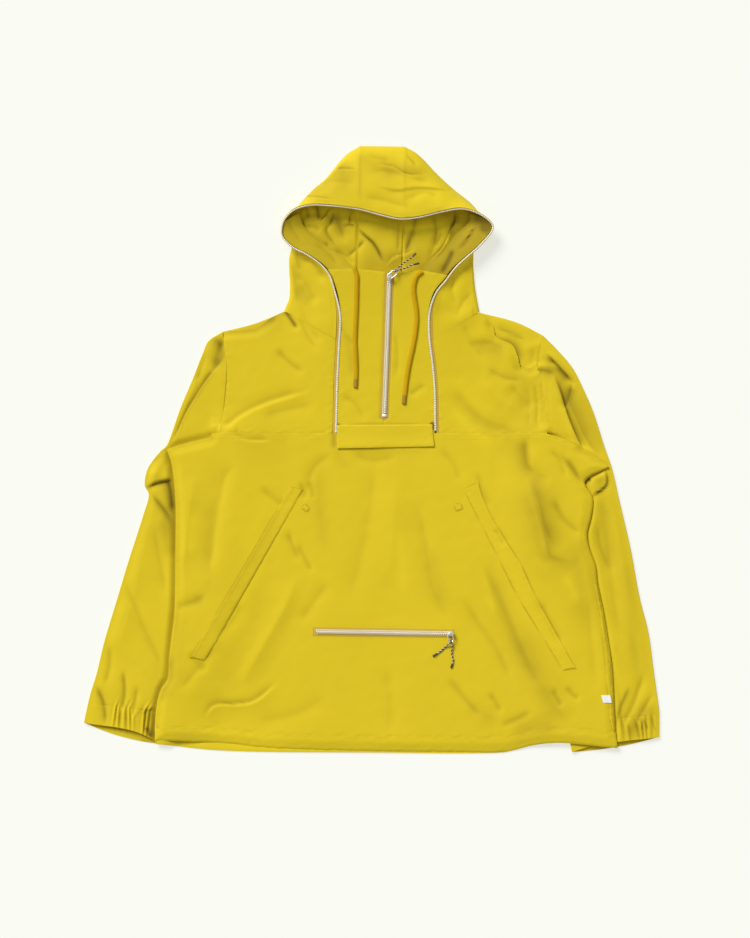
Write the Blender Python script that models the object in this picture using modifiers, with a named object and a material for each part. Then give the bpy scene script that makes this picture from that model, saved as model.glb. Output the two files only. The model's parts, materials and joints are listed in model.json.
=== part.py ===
# Anorak pullover laid flat on its back, hood spread open, sleeves folded down under the body.
# Tables are in millimetres: X across the body, Y from hem to hood, Z up from the surface.
import math

import bpy
import numpy as np
from mathutils import Matrix, Vector
from mathutils.bvhtree import BVHTree

MM = 0.001
CLOTH = 1.2             # wall of one layer of cloth
SEAM_INSET = 0.2        # every piece stops this short of its seam line
SIT = 0.5               # gap under a piece that lies on another
HOOD_SEAM_INSET = 0.5   # the same along the hood's seams, where the wall curves
EDGE_GAP = 0.6          # gap between front and back along a side edge
EDGE_EASE = 15.0        # width over which a layer sinks to its edge
BODY_RELIEF = 2.8       # air between front and back away from the edges
SLEEVE_LIFT = 6.6       # height of the back where a sleeve lies under it
SLEEVE_PRESSED = 5.0    # sleeve height under the body
SLEEVE_FREE = 6.3       # sleeve height beside the body
FOLD_RADIUS = 2.5       # outer radius of a folded edge
ZIP_WIDTH = 10.0        # tape and teeth of the zip round the hood
CHEST_TAPE = 14.0       # width of the chest zip's tape
TOOTH_ROW = 5.6         # width of a closed row of teeth
POCKET_ZIP_LENGTH = 205.0
POCKET_TAPE = 12.5
BODY_COLUMNS = 26       # grid of the front and the back, the same so that they stay apart
BODY_ROWS = 17
LAYER_GAP = 0.8         # least air inside a sleeve
SLEEVE_EASE = (7.0, 15.0)   # a sleeve starts to fill out this far beside the body, over this width
SLEEVE_ACROSS = [0, 0.05, 0.157, 0.235, 0.314, 0.459, 0.564, 0.702, 0.8, 0.89, 0.96, 1.0]
CUFF_ACROSS = 21
CUFF_SECTIONS = (0.03, 0.45, 1.0)
FLOOR_POINTS = 4        # points of a hood section on the surface, and from there up to the rim
RISE_POINTS = 10
CENTRE_SECTIONS = 6
ZIP_STATIONS = 64
ZIP_TAPE_SPAN = (0.08, 0.60)    # tape and teeth as fractions of the zip's width
ZIP_TEETH_SPAN = (0.64, 0.97)

CLOTH_COLOUR = (0.70, 0.52, 0.022)
TAPE_COLOUR = (0.50, 0.30, 0.07)
METAL_COLOUR = (0.74, 0.73, 0.68)
CORD_COLOUR = (0.64, 0.38, 0.01)
DARK_COLOUR = (0.05, 0.035, 0.02)
LABEL_COLOUR = (0.85, 0.85, 0.82)

# Body outline: side edges from the underarm down to the hem seam, top seam from left to right.
BODY_LEFT = [(-299, 2), (-291, -22), (-286, -72), (-286, -141), (-287, -227), (-291, -265),
             (-295, -299), (-297, -330), (-307, -346), (-313, -368), (-316, -401)]
BODY_RIGHT = [(342, -24), (307, -44), (318, -69), (316, -95), (310, -120), (313, -141), (322, -167),
              (325, -192), (334, -236), (344, -299), (348, -346), (351, -408)]
YOKE_SEAM_LEFT = [(-299, 2), (-264, 12), (-238, 18), (-225, 26)]
YOKE_SEAM_MIDDLE = [(-225, 26), (-149, 25), (-62, 25), (99, 25), (184, 24), (252, 24)]
YOKE_SEAM_RIGHT = [(252, 24), (304, 2), (342, -24)]
HEM_SEAM = [(-316, -401), (-254, -401), (-207, -404), (-152, -410), (-77, -413), (9, -414),
            (112, -415), (188, -415), (228, -407), (255, -402), (284, -402), (351, -408)]
FRONT_HEM = [(-315, -424), (-309, -420), (-254, -422), (-207, -425), (-152, -431), (-77, -434),
             (9, -436), (112, -437), (188, -437), (228, -428), (255, -424), (284, -424), (354, -431)]
BACK_HEM = [(-315, -425), (-297, -427), (-233, -434), (-149, -437), (4, -438), (112, -439),
            (188, -440), (286, -434), (354, -431)]

ARMHOLE_LEFT = [(-225, 26), (-219, 41), (-214, 89), (-212, 125), (-215, 149), (-218, 172)]
ARMHOLE_RIGHT = [(252, 24), (248, 67), (244, 102), (238, 123), (246, 167)]
SHOULDER_LEFT_FRONT = [(-218, 172), (-204, 173), (-171, 176), (-149, 191), (-128.5, 201.5)]
SHOULDER_RIGHT_FRONT = [(154, 200), (173, 181), (178, 165), (200, 154), (208, 141), (213, 122),
                        (227, 119), (238, 123)]
NECK_LEFT = (-128.5, 201.5)
NECK_RIGHT = (154, 200)
NAPE_LEFT = (-23, 178)
NAPE_RIGHT = (38, 178)

# Where each sleeve's inner fold lies under the body: row = (Y, X of the left, X of the right).
SLEEVE_INNER = [(-434, -308, 281), (-362, -291, 271), (-289, -259, 264), (-237, -239, 257),
                (-188, -230, 250), (-159, -226, 247), (-109, -219, 244), (-80, -213, 247), (-49, -205, 250),
                (-25, -203, 253), (-2, -204, 254), (73, -204, 242)]
LIFT_STARTS = 54        # the back begins to rise over the sleeves here
LIFT_FULL = 29

# Rise of the front towards the collar: row = (Y, rise).
COLLAR_RISE = [(25, 0), (73, 0.8), (109, 1.8), (165, 5), (195, 7.5), (220, 10), (253, 14), (262, 15)]
COLLAR_MIDDLE = 17
COLLAR_HALF = 75

# Folds of the front: row = (height, width on the left of its run, width on the right, run).
FRONT_FOLDS = [
    (-2.4, 10, 9, [(-188, -36), (-204, -25), (-219, -43), (-233, -101), (-241, -159), (-242, -210)]),
    (-1.6, 8, 8, [(-289, -227), (-236, -210)]),
    (-1.6, 10, 10, [(-120, -123), (-80, -181)]),
    (-2.4, 14, 12, [(-106, -181), (-128, -231), (-157, -289), (-197, -355)]),
    (-1.9, 18, 16, [(7, -28), (-33, -224)]),
    (-2.0, 16, 14, [(61, -43), (75, -130), (90, -202), (119, -257)]),
    (-2.4, 12, 12, [(133, -217), (170, -289), (206, -340)]),
    (-2.7, 12, 10, [(177, -144), (191, -217), (206, -275), (257, -347)]),
    (2.2, 14, 14, [(195, -144), (210, -217), (226, -275), (272, -338)]),
    (-2.7, 12, 9, [(223, -50), (249, -144)]),
    (2.4, 10, 12, [(243, -40), (268, -130)]),
    (-2.2, 8, 8, [(264, -72), (289, -115)]),
    (-2.0, 8, 8, [(115, -333), (148, -369), (148, -405)]),
    (-2.0, 9, 9, [(162, -347), (191, -405)]),
    (-2.0, 9, 9, [(249, -333), (286, -398)]),
    (-2.2, 9, 9, [(-244, -391), (-229, -370), (-178, -368), (-135, -333)]),
    (-2.0, 12, 12, [(-219, 27), (-186, 51), (-120, 80)]),
    (-1.6, 10, 10, [(-138, 146), (-103, 117)]),
    (-2.2, 18, 14, [(115, 95), (141, 66), (177, 32), (225, 34)]),
    (2.0, 12, 12, [(150, 100), (178, 66), (215, 52)]),
    (-1.8, 10, 10, [(180, 114), (220, 95)]),
    (2.2, 9, 9, [(190, 150), (206, 128)]),
    (-1.6, 6, 6, [(271, 0), (307, -50)]),
    (1.6, 22, 22, [(-60, -60), (-95, -210)]),
    (1.6, 20, 20, [(-170, -60), (-200, -170)]),
    (1.4, 24, 24, [(20, -300), (40, -390)]),
]

# Sleeves: row = (outer x, outer y, inner x, inner y) for each section, shoulder to cuff seam.
SLEEVE_LEFT = [(-218, 172, -225, 26), (-238, 159, -231, 15), (-247, 140, -231.5, 3), (-262, 102, -230.5, -10),
               (-280, 59, -226, -28), (-297, 11, -214, -50), (-309, -2, -215, -64), (-326, -25, -217, -80),
               (-331, -49, -220, -95), (-325, -65, -223, -109), (-333, -94, -228, -131),
               (-354, -159, -236, -188), (-370, -212, -245, -237), (-389, -275, -265, -292),
               (-400, -321, -284, -339), (-409, -350, -297, -365), (-413, -366, -307, -379)]
SLEEVE_RIGHT = [(246, 167, 252, 24), (267, 146, 257, 14), (289, 120, 258, -6), (305, 89, 257, -22),
                (320, 54, 255, -38), (335, 7, 252, -57), (347, -28, 249, -79), (357, -72, 246, -104),
                (373, -141, 249, -162), (386, -211, 258, -225), (399, -263, 264, -275),
                (407, -321, 270, -333), (414, -370, 275, -385), (415, -382, 280, -394)]
# Folds of the sleeves' upper layer, with the same columns as the front's.
SLEEVE_FOLDS = [
    (-3.2, 5, 14, [(-216, 130), (-238, 105), (-268, 59), (-291, 9)]),
    (1.6, 16, 12, [(-212, 112), (-228, 88), (-258, 40)]),
    (4.4, 15, 15, [(-312, -20), (-304, -30)]),
    (-3.2, 6, 8, [(-323, -53), (-310, -46), (-291, -43)]),
    (-2.4, 9, 9, [(-296, -52), (-287, -84)]),
    (-1.8, 7, 7, [(-323, -63), (-286, -108)]),
    (-2.0, 12, 12, [(-360, -188), (-323, -275), (-302, -318)]),
    (-2.0, 6, 6, [(-399, -350), (-389, -372)]),
    (-3.4, 9, 16, [(256, 146), (291, 99), (300, 58), (318, 2)]),
    (2.6, 8, 8, [(262, 122), (270, 88), (300, 6)]),
    (-2.4, 10, 10, [(312, -44), (322, -62)]),
    (-2.0, 20, 20, [(370, -130), (380, -275)]),
    (-2.0, 7, 7, [(365, -391), (387, -333)]),
]
CUFF_PUCKERS = 7
CUFF_PUCKER_DEPTH = 1.1

# Cuff mouths: row = (outer x, outer y, inner x, inner y, bow of the upper edge, bow of the lower edge).
CUFF_MOUTH_LEFT = (-419, -394, -311, -425, 5, -6)
CUFF_MOUTH_RIGHT = (415, -415, 288, -437, 4, -4)

# Hood zip: row = (x, y, z of its outer edge, width seen from above, rise of its inner edge).
HOOD_ZIP = [(-58, 220, 14.8, 9.8, 1.5), (-61, 239, 17, 9.7, 2), (-65, 253, 18.6, 9.5, 3),
            (-76, 267, 20, 9.2, 4), (-95, 281, 21, 8.6, 5), (-116, 292, 21.5, 7.0, 7),
            (-131, 307, 21, 4.5, 8.8), (-133, 321, 21, 4.0, 9), (-128, 337, 23, 5.0, 8.4),
            (-115, 350, 26, 7.4, 6), (-94, 357, 29, 9.4, 3), (-67, 357, 31, 9.9, 0),
            (-23, 352, 32, 9.9, -1), (12, 343, 32.4, 9.9, -1), (39, 337, 32.4, 9.9, -1),
            (67, 340, 32, 9.9, -1), (96, 347, 31.5, 9.9, -1), (126, 352, 30, 9.6, 1),
            (151, 346, 27, 8.0, 5), (171, 331, 22.5, 5.0, 8.4), (173, 317, 21, 4.4, 8.8),
            (154, 294, 21.5, 7.0, 7), (123, 266, 20, 9.0, 4), (107, 244, 17.5, 9.6, 2.5),
            (95, 225, 15.4, 9.8, 1.5)]
ZIP_LEG_LEFT = [(-62, 25), (-61, 73), (-60, 109), (-57, 165), (-56, 195)]
ZIP_LEG_RIGHT = [(90, 199), (90, 165), (95, 124), (98, 86), (99, 25)]
NECK_END_LEFT = (-57.2, 161)
NECK_END_RIGHT = (90.3, 161)

# Hood sides: row = (rim x, y, z, fold x, y, floor end y, sag), sag 0 rounds up, 1 sweeps up late.
HOOD_LEFT = [(-19, 351, 32, -19, 441, 431, 0.0), (-43, 354, 31.6, -41, 426, 418, 0.0),
             (-67, 357, 31, -67, 395, 395, 0.1), (-86, 357, 29.6, -83, 381, 375, 0.3),
             (-102, 355, 28, -97, 367, 356, 0.5), (-115, 350, 26, -108, 354, 342, 0.5),
             (-128, 337, 23, -121, 337, 327, 0.5), (-133, 321, 21, -126, 321, 314, 0.5),
             (-131, 307, 21, -123, 309, 301, 0.5), (-116, 292, 21.5, -117, 296, 288, 0.6),
             (-95, 281, 21, -121, 279, 273, 0.7), (-76, 267, 20, -121, 259, 257, 0.7),
             (-65, 253, 18.6, -120, 243, 244, 0.7), (-61, 239, 17, -120, 233, 233, 0.7),
             (-58, 220, 14.8, -121, 221, 221, 0.6), (-56, 195, 12.2, -126, 208, 206, 0.5),
             (-57.2, 161.6, 9.7, -128.5, 202, 179, 0.4)]
HOOD_RIGHT = [(46, 338, 32.4, 46, 440, 430, 0.0), (67, 340, 32, 66, 428, 417, 0.0),
              (96, 347, 31.5, 93, 400, 392, 0.1), (115, 351, 30.6, 117, 378, 370, 0.3),
              (133, 351, 29.4, 136, 363, 354, 0.4), (151, 346, 27, 147, 352, 340, 0.5),
              (171, 331, 22.5, 162, 331, 327, 0.5), (173, 317, 21, 163, 318, 314, 0.5),
              (154, 294, 21.5, 147, 297, 298, 0.6), (123, 266, 20, 145, 273, 281, 0.7),
              (107, 244, 17.5, 146, 252, 263, 0.7), (95, 225, 15.4, 148, 233, 246, 0.7),
              (90, 199, 12.4, 151, 217, 227, 0.6), (90.3, 161.6, 9.7, 153.8, 201, 179, 0.4)]
CROWN_LEFT_TOP = (-19, 441)
CROWN_RIGHT_TOP = (46, 440)
HOOD_FLOOR_LEFT = (-23, 179)
HOOD_FLOOR_RIGHT = (38, 179)

# Facings inside the opening: inner line of each, from the collar up to the rim.
FACING_LEFT_LINE = [(-24, 262), (-29, 266), (-48, 283), (-70, 298), (-98, 322), (-107, 343)]
FACING_RIGHT_LINE = [(72, 260), (80, 272), (97, 283), (119, 312), (138, 330), (140, 342)]
FACING_LEFT_HEIGHTS = [19, 16, 11, 9, 9, 16]
FACING_RIGHT_HEIGHTS = [19, 15, 11, 9, 10, 17]
FACING_STATIONS = 7      # stations of the zip that each facing follows

COLLAR_Y = (262, 254)    # the bib's left and right halves reach this far up their zips
COLLAR_TOP_LEFT = (-20, 262)
COLLAR_TOP_RIGHT = (67, 261)
CHEST_ZIP_TOP = (24, 258)
CHEST_ZIP_MIDDLE = (20, 146)
CHEST_ZIP_FOOT = (15.4, 27)
CHEST_STOP_Y = 44

FLAP_CORNERS = [(-52, 3), (88.5, 6), (85.5, 38), (-52, 37)]

# Pocket welts: opening edge and stitched edge of each, from the top down.
WELT_LEFT_OPENING = [(-120, -52), (-248, -270), (-265, -299)]
WELT_LEFT_STITCHED = [(-101, -56), (-109, -70), (-227, -277), (-243, -304)]
WELT_RIGHT_OPENING = [(152, -44), (162, -75), (180, -111), (213, -162), (236, -212), (277, -286), (294, -315)]
WELT_RIGHT_STITCHED = [(130, -56), (158, -111), (180, -154), (210, -214), (244, -269), (274, -318)]
LABEL_CORNERS = [(333, -365), (346, -365), (343, -354), (330, -354)]
PATCH_LEFT = [(-98.5, -76), (-91, -83.5), (-95.5, -90), (-105, -83)]
PATCH_RIGHT = [(117, -77.5), (127.5, -76), (131, -85), (119, -88.5)]
POCKET_ZIP_LEFT = (-87.5, -262)
STRIP_LINE = [(-192, 320), (-252, 330), (-330, 337), (-386, 342), (-408, 347)]

# Drawcords: each route's own points (x, y), from the collar down; they lie on the bib.
DRAWCORD_LEFT = [(-27, 263), (-23.5, 252), (-23.5, 240), (-24, 209), (-26, 160), (-24.5, 120), (-25.5, 91)]
DRAWCORD_RIGHT = [(71, 259), (62, 250), (58.5, 231), (63, 195), (59.5, 160), (51, 120), (46.5, 88), (44.5, 67.5)]
DRAWCORD_WIDTH = 5.0
TIP_LENGTH = 13.0
TIP_WIDTH = 6.0

# Sliders and pulls: sizes along the zip's width, the zip and up.
SLIDER_BODY = (8.4, 10.5, 3.0)
BAIL = (6.0, 2.6, 3.8)
BAIL_HOLE = 2.4
AXIS_ABOVE_BODY = 1.8
PULL_WIRE = 1.6
PULL_WIDTH = 7.4
PULL_LENGTH = 12.0
PULL_CORNER = 1.6
KNOT_WIDTH = 4.6
TAIL_WIDTH = 2.2
TAIL_TIP = (2.9, 7.0)
TAIL_GAP = 0.6
TAIL_SPREAD = 26        # degrees by which each tail leaves the knot outwards
CHEST_SLIDER_Y = 250
CHEST_PULL_ANGLE = 43.0
CHEST_TAILS = [[(45, 271), (54, 277), (62, 284.5)], [(49, 264), (58, 268), (67, 270)]]
CHEST_TAIL_FALL = 0.16  # the tails sink by this much for each millimetre past the collar
POCKET_PULL_ANGLE = -84.0
POCKET_PULL_DROOP = 14.0
POCKET_TAILS = [[(104, -285), (96, -292), (86.5, -298)], [(114, -294), (116, -304), (113, -315)]]
TOOTH_HEIGHT = 1.6
SLIDER_GAP = (0.1, 0.4)     # above the teeth, on the chest and on the pocket
STOP_HALF = 3.2
STOP_SPAN = (4.5, 0.6)  # the bottom stop lies between these distances below the teeth


for old in list(bpy.data.objects):
    bpy.data.objects.remove(old)
garment = bpy.data.collections.new("anorak")
bpy.context.scene.collection.children.link(garment)


def material(name, colour, roughness, metallic=0.0):
    made = bpy.data.materials.new(name)
    made.use_nodes = True
    shader = made.node_tree.nodes["Principled BSDF"]
    shader.inputs["Base Color"].default_value = (*colour, 1.0)
    shader.inputs["Roughness"].default_value = roughness
    shader.inputs["Metallic"].default_value = metallic
    return made


cloth = material("cloth", CLOTH_COLOUR, 0.75)
tape = material("zip_tape", TAPE_COLOUR, 0.8)
metal = material("zip_metal", METAL_COLOUR, 0.35, 1.0)
cord = material("drawcord", CORD_COLOUR, 0.7)
dark = material("pull_cord", DARK_COLOUR, 0.7)
paper = material("label", LABEL_COLOUR, 0.7)


# ---------- curves in the plane ----------

def along(points, count):
    """count points spaced evenly along a polyline, with its corners kept."""
    pts = np.array(points, float)
    run = np.concatenate([[0], np.cumsum(np.hypot(*np.diff(pts, axis=0)[:, :2].T))])
    at = np.linspace(0, run[-1], count)
    if count >= len(pts):
        taken = {0, count - 1}
        for corner in run[1:-1]:
            order = np.argsort(abs(at - corner))
            pick = next(i for i in order if i not in taken)
            at[pick] = corner
            taken.add(pick)
        at.sort()
    return np.column_stack([np.interp(at, run, pts[:, i]) for i in range(pts.shape[1])])


def smooth(points, count):
    """count points spaced evenly along a Catmull-Rom curve through the given points."""
    pts = np.array(points, float)
    padded = np.vstack([2 * pts[0] - pts[1], pts, 2 * pts[-1] - pts[-2]])
    fine = []
    for i in range(len(pts) - 1):
        a, b, c, d = padded[i:i + 4]
        for t in np.linspace(0, 1, 16, endpoint=False):
            fine.append(0.5 * (2 * b + (c - a) * t + (2 * a - 5 * b + 4 * c - d) * t ** 2
                               + (3 * b - a - 3 * c + d) * t ** 3))
    fine = np.vstack(fine + [pts[-1]])
    run = np.concatenate([[0], np.cumsum(np.linalg.norm(np.diff(fine, axis=0), axis=1))])
    at = np.linspace(0, run[-1], count)
    return np.column_stack([np.interp(at, run, fine[:, i]) for i in range(pts.shape[1])])


def ease(t):
    t = np.clip(t, 0, 1)
    return t * t * (3 - 2 * t)


def distance(x, y, line):
    """Distance from each point to a polyline, negative on the left of its run."""
    best = np.full(np.shape(x), 1e9)
    side = np.ones(np.shape(x))
    for (ax, ay), (bx, by) in zip(line[:-1], line[1:]):
        dx, dy = bx - ax, by - ay
        t = np.clip(((x - ax) * dx + (y - ay) * dy) / (dx * dx + dy * dy), 0, 1)
        away = np.hypot(x - ax - t * dx, y - ay - t * dy)
        left = (dx * (y - ay) - dy * (x - ax)) > 0
        closer = away < best
        best = np.where(closer, away, best)
        side = np.where(closer, np.where(left, -1, 1), side)
    return best * side


def folds(x, y, table):
    total = np.zeros(np.shape(x))
    for height, left, right, line in table:
        away = distance(x, y, line)
        width = np.where(away < 0, left, right)
        total = total + height * np.exp(-(away / width) ** 2)
    return total


# ---------- heights of the layers ----------

def backHeight(x, y):
    """Underside of the back: on the surface, and up over the sleeves at the sides."""
    rows = np.array(SLEEVE_INNER, float)
    leftInner = np.interp(y, rows[:, 0], rows[:, 1])
    rightInner = np.interp(y, rows[:, 0], rows[:, 2])
    over = np.maximum(ease(1 - (x - leftInner - 2) / 22), ease(1 - (rightInner - x - 2) / 22))
    return SLEEVE_LIFT * over * ease((LIFT_STARTS - y) / (LIFT_STARTS - LIFT_FULL))


REST_EDGES = [YOKE_SEAM_LEFT[:3], BODY_LEFT, [BODY_LEFT[-1], FRONT_HEM[0]],
              YOKE_SEAM_RIGHT[1:], BODY_RIGHT, [BODY_RIGHT[-1], FRONT_HEM[-1]],
              FRONT_HEM, SHOULDER_LEFT_FRONT[:4], SHOULDER_RIGHT_FRONT[1:7]]


def frontHeight(x, y):
    """Underside of the front: over the back, sinking to it along the free edges."""
    x = np.asarray(x, float)
    y = np.asarray(y, float)
    edge = np.min([abs(distance(x, y, line)) for line in REST_EDGES], axis=0)
    free = ease(edge / EDGE_EASE)
    rows = np.array(COLLAR_RISE, float)
    rise = np.interp(y, rows[:, 0], rows[:, 1])
    rise = rise * ease(2 - abs(x - COLLAR_MIDDLE) / COLLAR_HALF)
    relief = BODY_RELIEF + folds(x, y, FRONT_FOLDS)
    relief = 0.5 * (relief + np.sqrt(relief ** 2 + 1))
    return backHeight(x, y) + CLOTH + EDGE_GAP + free * relief + rise * ease(edge / 40)


def sleeveHeight(x, y):
    """Top of a sleeve: pressed down under the body, fuller beside it."""
    x = np.asarray(x, float)
    y = np.asarray(y, float)
    body = YOKE_SEAM_LEFT[::-1] + BODY_LEFT[1:] + [FRONT_HEM[0]]
    left = distance(x, y, body)
    other = YOKE_SEAM_RIGHT + BODY_RIGHT[1:] + [FRONT_HEM[-1]]
    right = -distance(x, y, other)
    outside = ease((np.where(x < 0, left, right) - SLEEVE_EASE[0]) / SLEEVE_EASE[1])
    top = SLEEVE_FREE + folds(x, y, SLEEVE_FOLDS)
    floor = 2 * CLOTH + LAYER_GAP
    top = floor + 0.5 * (top - floor + np.sqrt((top - floor) ** 2 + 0.5))
    return SLEEVE_PRESSED + (top - SLEEVE_PRESSED) * outside


# ---------- meshes ----------

def addMesh(name, verts, faces, paint, smoothShaded=True):
    mesh = bpy.data.meshes.new(name)
    mesh.from_pydata([tuple(MM * c for c in v) for v in verts], [], faces)
    if signedVolume(verts, faces) < 0:
        mesh.flip_normals()
    mesh.materials.append(paint)
    mesh.validate()
    if smoothShaded:
        mesh.shade_smooth()
        mesh.set_sharp_from_angle(angle=math.radians(50))
    piece = bpy.data.objects.new(name, mesh)
    garment.objects.link(piece)
    return piece


def wall(name, lower, upper, paint):
    """Closed wall between two grids of the same shape, both split along the same diagonals."""
    rows, cols = lower.shape[:2]
    verts = list(lower.reshape(-1, 3)) + list(upper.reshape(-1, 3))
    shift = rows * cols
    faces = []
    plan = upper[..., :2]
    for i in range(rows - 1):
        for j in range(cols - 1):
            a = i * cols + j
            b, c, d = a + 1, a + cols + 1, a + cols
            rising = np.linalg.norm(plan[i + 1, j + 1] - plan[i, j])
            falling = np.linalg.norm(plan[i + 1, j] - plan[i, j + 1])
            halves = [(a, b, c), (a, c, d)] if rising <= falling else [(a, b, d), (b, c, d)]
            for half in halves:
                faces.append(half[::-1])
                faces.append(tuple(q + shift for q in half))
    rim = [j for j in range(cols)] + [i * cols + cols - 1 for i in range(1, rows)]
    rim += [(rows - 1) * cols + j for j in range(cols - 2, -1, -1)] + [i * cols for i in range(rows - 2, 0, -1)]
    for a, b in zip(rim, rim[1:] + rim[:1]):
        faces.append((a, b, b + shift, a + shift))
    return addMesh(name, verts, faces, paint)


def signedVolume(verts, faces):
    total = 0.0
    for face in faces:
        a = np.array(verts[face[0]])
        for b, c in zip(face[1:-1], face[2:]):
            total += np.dot(a, np.cross(verts[b], verts[c]))
    return total


def coons(bottom, right, top, left, columns, rows):
    """Grid of plan points filled in between four seam lines that meet at the corners."""
    b = along(bottom, columns + 1)
    t = along(top, columns + 1)
    l = along(left, rows + 1)
    r = along(right, rows + 1)
    u = np.linspace(0, 1, columns + 1)[None, :, None]
    v = np.linspace(0, 1, rows + 1)[:, None, None]
    grid = (1 - v) * b[None] + v * t[None] + (1 - u) * l[:, None] + u * r[:, None]
    grid -= (1 - u) * (1 - v) * b[0] + u * (1 - v) * b[-1] + (1 - u) * v * t[0] + u * v * t[-1]
    return grid


def inset(grid, amount=SEAM_INSET):
    """Moves the outline of a plan grid inwards."""
    rows, cols = grid.shape[:2]
    ring = [(0, j) for j in range(cols)] + [(i, cols - 1) for i in range(1, rows)]
    ring += [(rows - 1, j) for j in range(cols - 2, -1, -1)] + [(i, 0) for i in range(rows - 2, 0, -1)]
    loop = np.array([grid[i, j] for i, j in ring])
    step = np.roll(loop, -1, axis=0) - np.roll(loop, 1, axis=0)
    normal = np.column_stack([-step[:, 1], step[:, 0]])
    normal /= np.linalg.norm(normal, axis=1)[:, None]
    area = np.sum(loop[:, 0] * np.roll(loop[:, 1], -1) - loop[:, 1] * np.roll(loop[:, 0], -1))
    moved = grid.copy()
    for (i, j), n in zip(ring, normal * np.sign(area)):
        moved[i, j] = moved[i, j] + amount * n
    return moved


def panel(name, seams, columns, rows, height, paint=cloth, thick=CLOTH):
    """Flat-lying piece: its plan from four seam lines, its height from a function."""
    plan = inset(coons(*seams, columns, rows))
    z = height(plan[..., 0], plan[..., 1])
    lower = np.dstack([plan, z])
    upper = np.dstack([plan, z + thick])
    return wall(name, lower, upper, paint)


def sheet(name, grid, paint=cloth, thick=CLOTH):
    """Curved piece: a grid of points on its outer face, thickened inwards from its flat start."""
    du = np.gradient(grid, axis=1)
    dv = np.gradient(grid, axis=0)
    normal = np.cross(du, dv)
    normal /= np.linalg.norm(normal, axis=2)[..., None]
    normal *= np.sign(normal[0, 0, 2])
    return wall(name, grid + thick * normal, grid, paint)


def tube(name, points, width, paint, fewest=6):
    """Round cord along a smooth route, filled at both ends."""
    route = bpy.data.curves.new(name, "CURVE")
    route.dimensions = "3D"
    route.bevel_depth = 0.5 * width * MM
    route.bevel_resolution = 2
    route.use_fill_caps = True
    length = np.sum(np.linalg.norm(np.diff(smooth(points, 60), axis=0), axis=1))
    places = smooth(points, max(fewest, int(round(length / (2.4 * width)))))
    spline = route.splines.new("POLY")
    spline.points.add(len(places) - 1)
    for point, (x, y, z) in zip(spline.points, places):
        point.co = (x * MM, y * MM, z * MM, 1)
    route.materials.append(paint)
    piece = bpy.data.objects.new(name, route)
    garment.objects.link(piece)
    return piece


def topOf(piece):
    """Function giving the height of a piece's upper face at a plan point."""
    tree = BVHTree.FromPolygons([v.co / MM for v in piece.data.vertices],
                                [p.vertices for p in piece.data.polygons])

    def at(x, y):
        hits = [tree.ray_cast(Vector((px, py, 200)), Vector((0, 0, -1)))[0]
                for px, py in zip(np.ravel(x), np.ravel(y))]
        heights = [h.z if h else np.nan for h in hits]
        return np.array(heights).reshape(np.shape(x))
    return at


# ---------- body ----------

bodyTop = YOKE_SEAM_LEFT + YOKE_SEAM_MIDDLE[1:] + YOKE_SEAM_RIGHT[1:]
bodySeams = (HEM_SEAM, BODY_RIGHT[::-1], bodyTop, BODY_LEFT[::-1])
panel("back_panel", bodySeams, BODY_COLUMNS, BODY_ROWS, backHeight)
frontPanel = panel("front_panel", bodySeams, BODY_COLUMNS, BODY_ROWS, frontHeight)

backYokeTop = [ARMHOLE_LEFT[-1], NECK_LEFT, NAPE_LEFT, NAPE_RIGHT, NECK_RIGHT, (207, 186), ARMHOLE_RIGHT[-1]]
panel("back_yoke", (YOKE_SEAM_MIDDLE, ARMHOLE_RIGHT, backYokeTop, ARMHOLE_LEFT), 14, 7, backHeight)

legLeft = ZIP_LEG_LEFT[:3] + [NECK_END_LEFT]
legRight = [NECK_END_RIGHT] + ZIP_LEG_RIGHT[2:]
panel("yoke_left", (YOKE_SEAM_MIDDLE[:3], legLeft, SHOULDER_LEFT_FRONT + [NECK_END_LEFT], ARMHOLE_LEFT),
      12, 9, frontHeight)
panel("yoke_right", (YOKE_SEAM_MIDDLE[3:], ARMHOLE_RIGHT[:4], [NECK_END_RIGHT] + SHOULDER_RIGHT_FRONT,
                     legRight[::-1]), 14, 9, frontHeight)

panel("hem_front", (FRONT_HEM, [FRONT_HEM[-1], HEM_SEAM[-1]], HEM_SEAM, [FRONT_HEM[0], HEM_SEAM[0]]),
      BODY_COLUMNS, 1, frontHeight)
panel("hem_back", (BACK_HEM, [BACK_HEM[-1], HEM_SEAM[-1]], HEM_SEAM, [BACK_HEM[0], HEM_SEAM[0]]),
      BODY_COLUMNS, 1, backHeight)


# ---------- sleeves and cuffs ----------

def bowed(outer, inner, fractions, bow, armhole=None):
    """Plan points across a sleeve, bent by a bow or along the armhole seam."""
    outer = np.array(outer, float)
    inner = np.array(inner, float)
    line = outer + fractions[:, None] * (inner - outer)
    across = inner - outer
    across /= np.linalg.norm(across)
    up = np.array([-across[1], across[0]]) * (1 if across[0] > 0 else -1)
    line = line + (4 * bow * fractions * (1 - fractions))[:, None] * up
    if armhole is not None:
        seam, share = armhole
        onSeam = along(seam, 60)
        reach = np.linspace(0, 1, 60)
        straight = onSeam[0] + reach[:, None] * (onSeam[-1] - onSeam[0])
        shift = np.column_stack([np.interp(fractions, reach, (onSeam - straight)[:, i]) for i in (0, 1)])
        line = line + share * shift
    return line


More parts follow.
